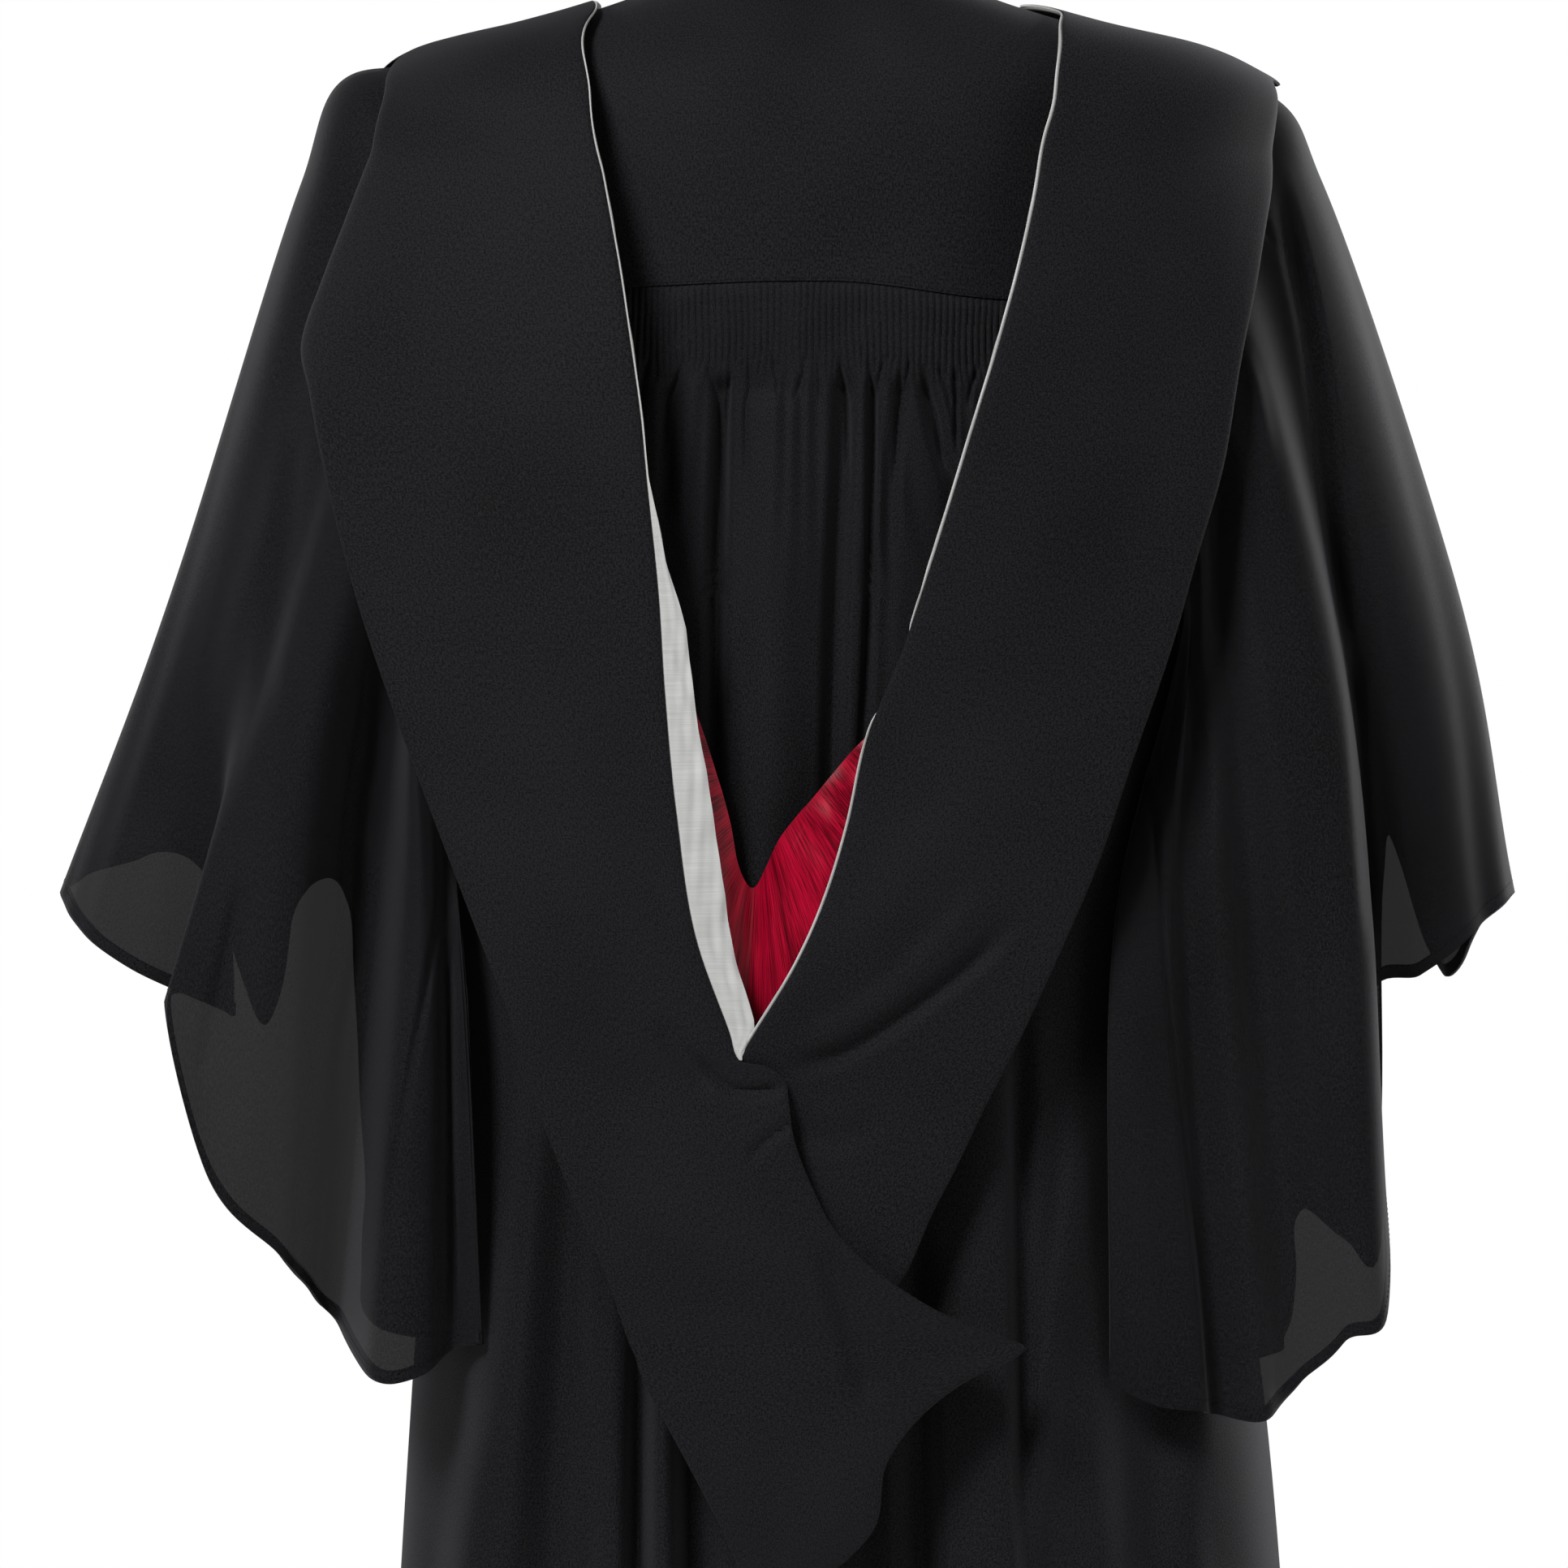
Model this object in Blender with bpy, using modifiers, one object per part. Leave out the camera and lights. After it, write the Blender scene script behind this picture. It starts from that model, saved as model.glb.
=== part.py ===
"""Graduation gown with its academic hood, as worn: hollow cloth walls on one shared form.

The origin lies on the shoulder line, between the shoulders. +Z is up, the wearer faces +Y,
so the fluted back and the hood are on the -Y side, and +X is the wearer's right.
Widths and heights in the tables are millimetres.
"""

import math

import bpy
import numpy as np

MM = 0.001
SEAM_GAP = 0.3 * MM
CLOTH = 1.5 * MM
FLUTE_WALL = 1.1 * MM
RIBBON = 1.0 * MM

# Form of the gown. Each row is one ring round the body, from the neck to the hem:
# height at the side, centre back and centre front, half width, depth at back and front,
# and how far the ring's centre lies to the wearer's right.
BODY_RINGS = (
    # side, back, front, half, y_back, y_front, shift
    (42, 58, -40, 72, -62, 50, 0),
    (31, 38, -75, 105, -85, 75, 0),
    (19, 8, -100, 150, -104, 95, 0),
    (8, -26, -125, 192, -118, 110, 0),
    (-38, -58, -150, 198, -125, 120, 0),
    (-100, -122, -180, 199, -128, 124, 0),
    (-160, -178, -215, 197, -130, 126, 0),
    (-290, -290, -290, 195, -134, 126, 1),
    (-500, -500, -500, 205, -140, 130, 7),
    (-700, -700, -700, 226, -150, 136, 14),
    (-1100, -1100, -1100, 250, -170, 155, 16),
)
ROUNDNESS = 2.5

# Form that the hood lies on: the gown's form with the sleeve heads, moved out.
CAPE_RINGS = (
    # side, back, front, half, y_back, y_front, shift
    (49, 65, -33, 77, -68, 56, 0),
    (34.7, 43, -68, 110, -91, 81, 0),
    (22.6, 14, -93, 155, -111, 101, 0),
    (11.8, -18.5, -117, 203, -128, 117, 0),
    (-4, -41, -135, 241, -136, 127, 0),
    (-50, -77, -160, 260, -143, 134, 0),
    (-106, -122, -190, 279, -149, 139, 0),
    (-180, -180, -220, 302, -156, 142, 0),
    (-290, -290, -290, 335, -161, 145, 0),
    (-500, -500, -500, 345, -168, 150, 0),
    (-700, -700, -700, 350, -178, 156, 0),
    (-1100, -1100, -1100, 360, -200, 170, 0),
)

# Armhole, an oval on the form round the side line.
ARMHOLE_Z = -139 * MM
ARMHOLE_HALF_HEIGHT = 141 * MM
ARMHOLE_HALF_SPAN = 0.36
ARMHOLE_FOOT = -280
ARMHOLE_GAP = 0.6 * MM

YOKE_SEAM_Z = -122 * MM
FLUTES_END_Z = -168 * MM
FRONT_SEAM_Z = -150 * MM
HEM_Z = -1100 * MM
FRONT_OPENING = 1.78

FLUTE_PITCH = 3.3 * MM
FLUTE_COUNT = 91
FLUTE_DEPTH = 1.7 * MM
FLATTENED_AT = -12 * MM
FLATTENED_HALF = 6 * MM

GATHER_COUNT = 24
GATHER_DEPTH = 4.5 * MM

BACK_COLUMNS = 90
BACK_ROWS = (-168, -171, -184, -205, -232, -258, -280, -350, -430, -530, -640, -760, -920, -1100)
YOKE_STEPS = 5
FRONT_COLUMNS = 14
FRONT_ROWS = (-150, -175, -205, -232, -258, -280, -400, -560, -740, -920, -1100)

# Folds of the back, each a line down the cloth. depth is positive for a ridge and
# negative for a valley; left and right are how wide it is on each side of its line.
BACK_FOLDS = (
    # z of three points, x of three points, depth of each, left, right
    ((-176, -227, -380), (-45, -48, -50), (-7, -10, -7), 7, 7),
    ((-172, -260, -400), (17, 15, 8), (-4, -7, -5), 7, 7),
    ((-176, -311, -430), (31, 29, 23), (-4, -5, -4), 5, 5),
    ((-176, -235, -300), (45, 40, 38), (-3, -4, -1), 7, 7),
    ((-172, -200, -227), (59, 65, 73), (-5, -6, -3), 8, 8),
    ((-176, -205, -235), (-73, -73, -74), (-5, -5, -2), 8, 8),
    ((-190, -300, -520), (-18, -19, -22), (4, 8, 6), 26, 26),
    ((-430, -640, -786), (-128, -149, -178), (6, 24, 20), 14, 46),
    ((-440, -640, -786), (-184, -190, -206), (-8, -14, -4), 34, 22),
    ((-520, -620, -786), (-122, -127, -135), (-6, -12, -10), 22, 18),
    ((-600, -670, -900), (-104, -103, -103), (6, 8, 6), 16, 16),
    ((-620, -700, -900), (-87, -89, -90), (-6, -12, -8), 9, 12),
    ((-640, -729, -900), (-76, -76, -76), (7, 11, 8), 14, 14),
    ((-650, -730, -930), (-64, -62, -60), (-8, -18, -10), 12, 22),
    ((-640, -740, -930), (-20, -22, -24), (6, 12, 10), 30, 30),
    ((-640, -740, -930), (20, 22, 26), (-4, -8, -8), 24, 20),
    ((-640, -730, -930), (52, 55, 60), (-6, -12, -10), 16, 14),
    ((-540, -652, -860), (94, 96, 101), (10, 16, 14), 40, 9),
    ((-540, -652, -860), (106, 108, 113), (-6, -9, -8), 9, 18),
    ((-520, -592, -900), (116, 114, 112), (4, 6, 4), 12, 12),
    ((-590, -664, -820), (136, 123, 106), (5, 9, 5), 12, 16),
    ((-470, -640, -900), (164, 170, 188), (-8, -17, -10), 34, 34),
    ((-760, -850, -1000), (190, 200, 206), (6, 9, 9), 20, 20),
    ((-800, -950, -1100), (-170, -180, -190), (6, 14, 16), 30, 30),
    ((-800, -950, -1100), (-120, -124, -128), (-6, -12, -14), 26, 26),
    ((-800, -950, -1100), (0, -2, -4), (-4, -10, -12), 24, 24),
    ((-800, -950, -1100), (130, 140, 150), (-4, -12, -14), 30, 30),
)

# Folds of each front, by their share of the way from the side seam to the opening.
FRONT_FOLDS = (
    # share, depth at the top, depth at the hem, half width as a share
    (0.16, 2, 14, 0.11),
    (0.33, -2, -13, 0.10),
    (0.52, 3, 15, 0.11),
    (0.70, -2, -12, 0.10),
    (0.88, 2, 9, 0.11),
)

# Sleeves. Each row is one fold line down the cloth, going round from the top of the armhole
# over the back: the angle round the armhole, then a point half way down and one at the hem.
LEFT_SLEEVE_LINES = (
    # angle, middle x, y, z, hem x, y, z
    (0, -335, 0, -262, -397, -18, -440),
    (30, -318, -45, -295, -355, -62, -478),
    (46, -296, -58, -322, -304, -56, -502),
    (62, -288, -92, -322, -334, -104, -494),
    (76, -270, -103, -318, -313, -112, -580),
    (94, -252, -110, -353, -273, -106, -625),
    (108, -232, -97, -377, -257, -84, -645),
    (119, -218, -88, -398, -240, -82, -664),
    (131, -209, -113, -434, -227, -122, -686),
    (146, -196, -117, -440, -200, -124, -684),
    (156, -189, -105, -458, -184, -108, -672),
    (166, -180, -112, -470, -170, -114, -669),
    (182, -214, -66, -440, -226, -64, -664),
    (205, -228, 4, -400, -236, 10, -608),
    (232, -240, 64, -350, -250, 88, -452),
    (262, -262, 76, -328, -282, 84, -440),
    (298, -296, 68, -306, -326, 76, -430),
    (334, -325, 36, -280, -378, 34, -425),
)
RIGHT_SLEEVE_LINES = (
    # angle, middle x, y, z, hem x, y, z
    (0, 340, 0, -262, 374, -10, -438),
    (28, 314, -44, -288, 338, -46, -469),
    (48, 283, -58, -300, 291, -50, -500),
    (62, 277, -101, -340, 300, -106, -632),
    (80, 240, -116, -355, 274, -119, -668),
    (95, 221, -107, -375, 252, -107, -690),
    (109, 206, -121, -395, 233, -122, -708),
    (122, 191, -113, -425, 210, -109, -706),
    (133, 181, -124, -445, 201, -122, -703),
    (146, 168, -128, -452, 176, -132, -699),
    (158, 156, -124, -450, 154, -129, -686),
    (176, 208, -90, -430, 223, -96, -680),
    (203, 226, 4, -410, 254, 10, -668),
    (232, 238, 64, -388, 270, 88, -612),
    (254, 256, 74, -362, 298, 74, -632),
    (272, 276, 76, -340, 304, 82, -500),
    (288, 290, 74, -318, 308, 82, -402),
    (302, 300, 60, -308, 326, 62, -482),
    (334, 326, 34, -282, 360, 26, -460),
)
SLEEVE_BACK_ENDS = 170
HEAD_RISE_LEFT = 22
HEAD_RISE_RIGHT = 11
SLEEVE_ROWS = (0, 0.04, 0.1, 0.18, 0.28, 0.4, 0.52, 0.64, 0.76, 0.88, 1.0)
SLEEVE_KNOTS = (0, 0.1, 0.28, 0.58, 1.0)

# Hood. Each row of a band is a crossing from its inner edge to its outer edge. On the back
# the edges are given by x and z, and over the shoulder and the chest by their turn round
# the form, where 1 is the side line and 2 the centre front.
HOOD_LEFT_BACK = (
    # inner x, inner z, outer x, outer z, how far the inner edge stands off
    (-113, 27, -213, 4, 0),
    (-118, 13, -222, -20, 1),
    (-115, -22, -228, -48, 4),
    (-109, -62, -241, -84, 8),
    (-100, -108, -254, -118, 10),
    (-94, -146, -265, -152, 11),
    (-89, -180, -260, -178, 10),
    (-84, -227, -246, -240, 9),
    (-78, -285, -232, -290, 6),
    (-75, -332, -217, -334, 4),
    (-69, -395, -193, -398, 3),
    (-58, -462, -168, -462, 3),
    (-42, -506, -153, -500, 4),
    (-37, -520, -149, -512, 5),
)
# The tail goes on below the bands: where each crossing starts and ends.
HOOD_TAIL = (
    # z, left x, right x, relief at the right edge
    (-524, -147, -18, 6),
    (-538, -142, -15, 7),
    (-551, -137, -14, 8),
    (-584, -124, 0, 7),
    (-617, -109, 25, 6),
    (-636, -102, 50, 6),
    (-651, -97, 80, 7),
    (-664, -92, 107, 8),
    (-676, -88, 84, 8),
    (-689, -82, 63, 7),
    (-722, -64, 38, 6),
    (-756, -46, 31, 5),
    (-785, -32, 1, 4),
    (-798, -21, -15, 3),
)
HOOD_RIGHT_BACK = (
    # inner x, inner z, outer x, outer z, how far the inner edge stands off
    (130, 26, 243, -12, 0),
    (130, 12, 244, -27, 1),
    (127, -15, 241, -47, 3),
    (122, -42, 240, -67, 4),
    (116, -71, 236, -90, 5),
    (107, -113, 230, -122, 6),
    (97, -150, 222, -158, 6),
    (80, -206, 211, -218, 5),
    (63, -261, 197, -265, 5),
    (46, -312, 184, -310, 5),
    (28, -357, 163, -370, 4),
    (18, -402, 146, -420, 3),
    (7, -438, 128, -462, 2),
    (-8, -472, 108, -505, 0),
    (-30, -508, 84, -552, -3),
    (-48, -540, 62, -596, -7),
    (-58, -572, 45, -632, -8),
    (-66, -600, 20, -660, -8),
)
HOOD_FRONT = (
    # inner turn, inner z, outer turn, outer z
    (1.09, 32, 1.07, -2),
    (1.2, 20, 1.16, -18),
    (1.34, -10, 1.28, -52),
    (1.52, -55, 1.44, -110),
    (1.70, -108, 1.62, -165),
    (1.86, -158, 1.80, -215),
    (1.9994, -198, 1.9994, -250),
)
# Where the bands cross the shoulder line: height of the inner edge, and of each outer edge.
CREST_INNER_Z = 33.7
CREST_OUTER_Z_LEFT = 6
CREST_OUTER_Z_RIGHT = -8
HOOD_COLUMNS = 11
TAIL_LIFT = 5 * MM

# Lining turned out in the V of the hood, as crossings from its free edge to the hidden one.
LINING_ROWS = (
    # free x, free z, hidden x, hidden z, depth of the free edge, depth of the hidden edge
    (-70, -318, -92, -310, 3, 6),
    (-62, -332, -88, -330, 1, 5),
    (-57, -353, -82, -350, 0, 4),
    (-48, -370, -78, -376, -1, 4),
    (-42, -395, -70, -412, -2, 3),
    (-38, -414, -62, -446, -4, 1),
    (-31, -430, -49, -492, -6, -4),
    (-28, -436, -33, -530, -8, -10),
    (-21, -424, -8, -500, -7, -6),
    (-15, -408, 8, -464, -5, -3),
    (4, -386, 24, -422, -4, -1),
    (18, -370, 34, -392, -4, 0),
    (32, -352, 48, -364, -4, 1),
    (42, -322, 58, -324, -4, 1),
)
LINING_COLUMNS = 7

# Ribbon bound over a band's inner edge: how far its free edge stands past that edge.
RIBBON_HOLD = 3
RIBBON_LEFT = ((60, 2), (-120, 2), (-200, 3), (-230, 4), (-260, 8), (-330, 15), (-400, 19), (-520, 18))
RIBBON_RIGHT = ((60, 2.5), (-520, 3))
RIBBON_TOP = -20
RIBBON_BOTTOM = -510

COLOURS = {
    "crepe": ((0.012, 0.012, 0.014), 0.85),
    "ribbon": ((0.78, 0.78, 0.80), 0.45),
    "satin": ((0.30, 0.004, 0.012), 0.35),
}


def smooth_curve(at, knots, values):
    """Values of a curve through the given points, with Catmull-Rom slopes."""
    knots = np.asarray(knots, float)
    values = np.asarray(values, float)
    at = np.clip(np.asarray(at, float), knots[0], knots[-1])
    slopes = np.gradient(values, knots, axis=0)
    place = np.clip(np.searchsorted(knots, at, side="right") - 1, 0, len(knots) - 2)
    span = knots[place + 1] - knots[place]
    share = (at - knots[place]) / span
    if values.ndim > 1:
        span = span[..., None]
        share = share[..., None]
    rise = share * share * (3 - 2 * share)
    start = share * (1 - share) ** 2 * span
    end = share * share * (share - 1) * span
    low, high = values[place], values[place + 1]
    return low + (high - low) * rise + slopes[place] * start + slopes[place + 1] * end


def ring_quarter(half, depth):
    """Points along a quarter of a rounded ring, from the centre line to the side."""
    turn = np.linspace(0, math.pi / 2, 65)
    across = half * np.sin(turn) ** (2 / ROUNDNESS)
    out = depth * np.cos(turn) ** (2 / ROUNDNESS)
    steps = np.hypot(np.diff(across), np.diff(out))
    length = np.concatenate([[0], np.cumsum(steps)])
    return length / length[-1], across, out


class Form:
    """A stack of rings, read by the turn round them and the height."""

    def __init__(self, rings):
        self.rings = []
        for side, back, front, half, y_back, y_front, shift in rings:
            to_back = ring_quarter(half * MM, y_back * MM)
            to_front = ring_quarter(half * MM, y_front * MM)
            heights = (back * MM, side * MM, front * MM)
            self.rings.append((heights, to_back, to_front, shift * MM))

    def column(self, turn):
        """Where every ring is at one turn, as rows of x, y and z."""
        side = abs(turn)
        sign = 1 if turn >= 0 else -1
        points = []
        for (back, middle, front), to_back, to_front, shift in self.rings:
            length, across, out = to_back if side <= 1 else to_front
            share = side if side <= 1 else 2 - side
            x = np.interp(share, length, across)
            y = np.interp(share, length, out)
            blend = side * side * (3 - 2 * side) if side <= 1 else 0
            z = back + (middle - back) * blend
            if side > 1:
                late = side - 1
                z = middle + (front - middle) * late * late * (3 - 2 * late)
            points.append((sign * x + shift, y, z))
        return np.array(points)

    def point(self, turn, height):
        column = self.column(turn)[::-1]
        return smooth_curve(height, column[:, 2], column)

    def turn_at(self, x, height):
        """The turn on the back at which the form has this x at this height."""
        turns = np.linspace(-1, 1, 81)
        across = [self.point(turn, height)[0] for turn in turns]
        return float(np.interp(x, across, turns))


BODY = Form(BODY_RINGS)
CAPE = Form(CAPE_RINGS)


def armhole_height(turn):
    """Upper arc of the armhole at a turn, or None outside the armhole."""
    across = (abs(turn) - 1) / ARMHOLE_HALF_SPAN
    if abs(across) >= 1:
        return None
    return ARMHOLE_Z + ARMHOLE_HALF_HEIGHT * math.sqrt(1 - across * across)


def armhole_turn(height, front):
    """Side edge of a body panel at a height: the armhole's lower arc, then the side seam."""
    down = (height - ARMHOLE_Z) / ARMHOLE_HALF_HEIGHT
    reach = ARMHOLE_HALF_SPAN * math.sqrt(max(0.0, 1 - down * down))
    if height < ARMHOLE_Z - ARMHOLE_HALF_HEIGHT:
        reach = 0.0
    return 1 + reach if front else 1 - reach


def bell(offset, left, right):
    """Soft hump, 1 on its line and 0 beyond its two half widths."""
    width = np.where(offset < 0, left, right)
    share = np.clip(np.abs(offset) / width, 0, 1)
    return 0.5 + 0.5 * np.cos(math.pi * share)


def back_relief(x, z):
    """How far the back's folds stand out at a place, in metres."""
    relief = 0.0
    for heights, places, depths, left, right in BACK_FOLDS:
        knots = np.array(heights[::-1]) * MM
        top, bottom = heights[0] * MM, heights[-1] * MM
        reach = 60 * MM if top < -400 * MM else 14 * MM
        fade_in = np.clip((top + reach - z) / reach, 0, 1)
        fade_out = np.clip((z - bottom) / (90 * MM) + 1, 0, 1)
        if fade_in * fade_out == 0:
            continue
        line = smooth_curve(z, knots, places[::-1]) * MM
        depth = smooth_curve(z, knots, depths[::-1]) * MM
        widen = 1 + 0.6 * np.clip((bottom - z) / (300 * MM), 0, 1)
        hump = bell(x - line, left * MM * widen, right * MM * widen)
        relief += float(depth * hump * fade_in * fade_out)
    return relief


def gather_relief(share, z):
    """Gathers let out of the flutes: even at the top and fading down the cloth."""
    down = (FLUTES_END_Z - z) / (90 * MM)
    if down < 0:
        return 0.0
    rise = min(1.0, max(0.0, (FLUTES_END_Z - z - 3 * MM) / (12 * MM)))
    fade = math.exp(-down * down)
    wander = 0.5 * math.sin(share * 11) + 0.3 * math.sin(share * 23 + 1)
    wave = math.cos(2 * math.pi * (share * GATHER_COUNT / 2 + wander))
    return GATHER_DEPTH * rise * fade * wave


def back_point(share, z):
    """Back panel: share runs from -1 at the left side seam to 1 at the right one."""
    edge = armhole_turn(z, front=False)
    point = BODY.point(share * edge, z)
    side_fade = min(1.0, (1 - abs(share)) / 0.06)
    out = (back_relief(point[0], z) + gather_relief(share, z)) * side_fade
    settle = min(1.0, max(0.0, (FLUTES_END_Z - z - 2 * MM) / (10 * MM)))
    point[1] -= out * settle
    return point


def front_point(side, share, z):
    """Front panel: share runs from 0 at the side seam to 1 at the opening's edge."""
    edge = armhole_turn(z, front=True)
    point = BODY.point(side * (edge + (FRONT_OPENING - edge) * share), z)
    down = (FRONT_SEAM_Z - z) / (FRONT_SEAM_Z - HEM_Z)
    ease = min(1.0, down * 8)
    for place, top, hem, half in FRONT_FOLDS:
        depth = (top + (hem - top) * down) * MM
        point[1] += ease * depth * bell(share - place, half, half)
    return point


def yoke_turns():
    """Columns of the yoke, with one at each corner where its lower edge changes."""
    down = (YOKE_SEAM_Z - ARMHOLE_Z) / ARMHOLE_HALF_HEIGHT
    corner = 1 - ARMHOLE_HALF_SPAN * math.sqrt(1 - down * down)
    down = (FRONT_SEAM_Z - ARMHOLE_Z) / ARMHOLE_HALF_HEIGHT
    front_corner = 1 + ARMHOLE_HALF_SPAN * math.sqrt(1 - down * down)
    back = np.linspace(0, corner, 9)
    over = 1 - (1 - corner) * np.cos(np.linspace(0, math.pi, 13)[1:7])
    under = 1 - (front_corner - 1) * np.cos(np.linspace(0, math.pi, 13)[7:])
    chest = np.linspace(front_corner, FRONT_OPENING, 5)[1:]
    half = np.concatenate([back, over, under, chest])
    return np.concatenate([-half[:0:-1], half]), corner, front_corner


def yoke_edge(turn, corner, front_corner):
    side = abs(turn)
    if side <= corner + 1e-6:
        return YOKE_SEAM_Z
    if side >= front_corner - 1e-6:
        return FRONT_SEAM_Z
    return armhole_height(turn)


def yoke_grid():
    turns, corner, front_corner = yoke_turns()
    rows = []
    for step in range(YOKE_STEPS + 1):
        share = step / YOKE_STEPS
        row = []
        for turn in turns:
            top = BODY.column(turn)[0, 2]
            low = yoke_edge(turn, corner, front_corner)
            if abs(turn) <= corner + 1e-6 or abs(turn) >= front_corner - 1e-6:
                low += SEAM_GAP / 2
            row.append(BODY.point(turn, top + (low - top) * share))
        rows.append(row)
    return np.array(rows)


def back_grid():
    shares = np.linspace(-1, 1, BACK_COLUMNS + 1)
    rows = []
    for height in BACK_ROWS:
        z = min(height * MM, FLUTES_END_Z - SEAM_GAP / 2)
        rows.append([back_point(share, z) for share in shares])
    grid = np.array(rows)
    grid[6:, 0, 1] -= SEAM_GAP
    grid[6:, -1, 1] -= SEAM_GAP
    return grid


def front_grid(side):
    shares = np.linspace(0, 1, FRONT_COLUMNS + 1)
    rows = []
    for height in FRONT_ROWS:
        z = min(height * MM, FRONT_SEAM_Z - SEAM_GAP / 2)
        rows.append([front_point(side, share, z) for share in shares])
    grid = np.array(rows)
    grid[5:, 0, 1] += SEAM_GAP
    return grid


def flute_columns():
    """Turns across the fluted band, with how far each column is raised."""
    half_span = FLUTE_COUNT * FLUTE_PITCH / 2
    edge = armhole_turn(YOKE_SEAM_Z, front=False)
    reach = BODY.turn_at(half_span, YOKE_SEAM_Z)
    columns = [(turn, 0.0) for turn in np.linspace(-edge, -reach, 4)[:-1]]
    for flute in range(FLUTE_COUNT):
        start = -reach + 2 * reach * flute / FLUTE_COUNT
        pitch = 2 * reach / FLUTE_COUNT
        centre = -half_span + (flute + 0.5) * FLUTE_PITCH
        pressed = abs(centre - FLATTENED_AT) < FLATTENED_HALF
        height = 0.35 * FLUTE_DEPTH if pressed else FLUTE_DEPTH
        columns.append((start, 0.0))
        columns.append((start + 0.33 * pitch, height))
        columns.append((start + 0.67 * pitch, height))
    columns.append((reach, 0.0))
    columns += [(turn, 0.0) for turn in np.linspace(reach, edge, 4)[1:]]
    return columns


def flute_grids():
    """Outer and inner points of the fluted band: the flutes are raised over a plain inside."""
    outer, inner = [], []
    for z in (YOKE_SEAM_Z - SEAM_GAP / 2, FLUTES_END_Z + SEAM_GAP / 2):
        outer_row, inner_row = [], []
        edge_scale = armhole_turn(z, front=False) / armhole_turn(YOKE_SEAM_Z, front=False)
        for turn, height in flute_columns():
            point = BODY.point(turn * edge_scale, z)
            side = BODY.point(turn * edge_scale + 0.01, z) - point
            out = np.array([side[1], -side[0], 0.0])
            out /= np.linalg.norm(out)
            outer_row.append(point + out * height)
            inner_row.append(point - out * FLUTE_WALL)
        outer.append(outer_row)
        inner.append(inner_row)
    return np.array(outer), np.array(inner)


def armhole_ring(side, yoke, band, back, front):
    """The panels' edges round one armhole: angles, points, and the ways that they run on."""
    turns, corner, front_corner = yoke_turns()
    found = []
    for column, turn in enumerate(turns):
        if turn * side > 0 and corner - 1e-6 <= abs(turn) <= front_corner + 1e-6:
            found.append((yoke[-1, column], yoke[-2, column]))
    edge, next_in = (-1, -2) if side > 0 else (0, 1)
    below = BACK_ROWS.index(ARMHOLE_FOOT)
    found += [(row[edge], row[next_in]) for row in band]
    found += [(row[edge], row[next_in]) for row in back[:below]]
    below = FRONT_ROWS.index(ARMHOLE_FOOT)
    found += [(row[0], row[1]) for row in front[:below]]
    found.append((back[below + 1, edge], back[below + 3, edge]))
    points = np.array([pair[0] for pair in found])
    onward = points - np.array([pair[1] for pair in found])
    onward /= np.linalg.norm(onward, axis=1, keepdims=True)
    angles = np.arctan2(-points[:, 1] / 0.095, (points[:, 2] - ARMHOLE_Z) / ARMHOLE_HALF_HEIGHT)
    angles = np.degrees(angles) % 360
    order = np.argsort(angles)
    return angles[order], points[order], onward[order]


def sleeve_grid(side, lines, head_rise, ring):
    """A tube of cloth from the armhole to the hem, through its fold lines."""
    angles = np.array([line[0] for line in lines], float)
    middle = np.array([line[1:4] for line in lines]) * MM
    hem = np.array([line[4:7] for line in lines]) * MM
    wrap = np.concatenate([angles[-2:] - 360, angles, angles[:2] + 360])
    middle = np.concatenate([middle[-2:], middle, middle[:2]])
    hem = np.concatenate([hem[-2:], hem, hem[:2]])
    columns = []
    ends = np.concatenate([angles, [360]])
    for start, end in zip(ends[:-1], ends[1:]):
        steps = 3 if start < SLEEVE_BACK_ENDS else 2
        columns += list(np.linspace(start, end, steps + 1)[:-1])
    ring_angles, ring_points, onward = ring
    ring_wrap = np.concatenate([ring_angles[-1:] - 360, ring_angles, ring_angles[:1] + 360])
    ring_points = np.concatenate([ring_points, onward], axis=1)
    ring_points = np.concatenate([ring_points[-1:], ring_points, ring_points[:1]])
    paths = []
    for angle in columns:
        edge = np.array([np.interp(angle, ring_wrap, ring_points[:, k]) for k in range(6)])
        start = edge[:3] + edge[3:] / np.linalg.norm(edge[3:]) * ARMHOLE_GAP
        half_way = smooth_curve(angle, wrap, middle)
        end = smooth_curve(angle, wrap, hem)
        turn = math.radians(angle)
        swell = np.array(
            [side * (20 + 5 * math.cos(turn)), -13 * math.sin(turn), 18 * max(0, math.cos(turn))]
        )
        upper = start + 0.3 * (half_way - start) + swell * MM
        top = max(0.0, math.cos(turn))
        round_off = np.array([side * (9 + 15 * top), -7 * math.sin(turn), head_rise * top])
        head = start + 0.1 * (half_way - start) + round_off * MM
        knots = [start, head, upper, half_way, end]
        paths.append(smooth_curve(SLEEVE_ROWS, SLEEVE_KNOTS, knots))
    return np.swapaxes(np.array(paths), 0, 1)


def band_crossing(inner, outer, stand_off, lift, columns=HOOD_COLUMNS):
    """Points across a hood band, from its inner edge to its outer one, on the cape form."""
    row = []
    for column in range(columns + 1):
        share = column / columns
        turn = inner[0] + (outer[0] - inner[0]) * share
        height = inner[1] + (outer[1] - inner[1]) * share
        point = CAPE.point(turn, height)
        raised = lift + stand_off * MM * (1 - share) ** 2
        point[1] += raised if abs(turn) > 1 else -raised
        row.append(point)
    return row


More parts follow.
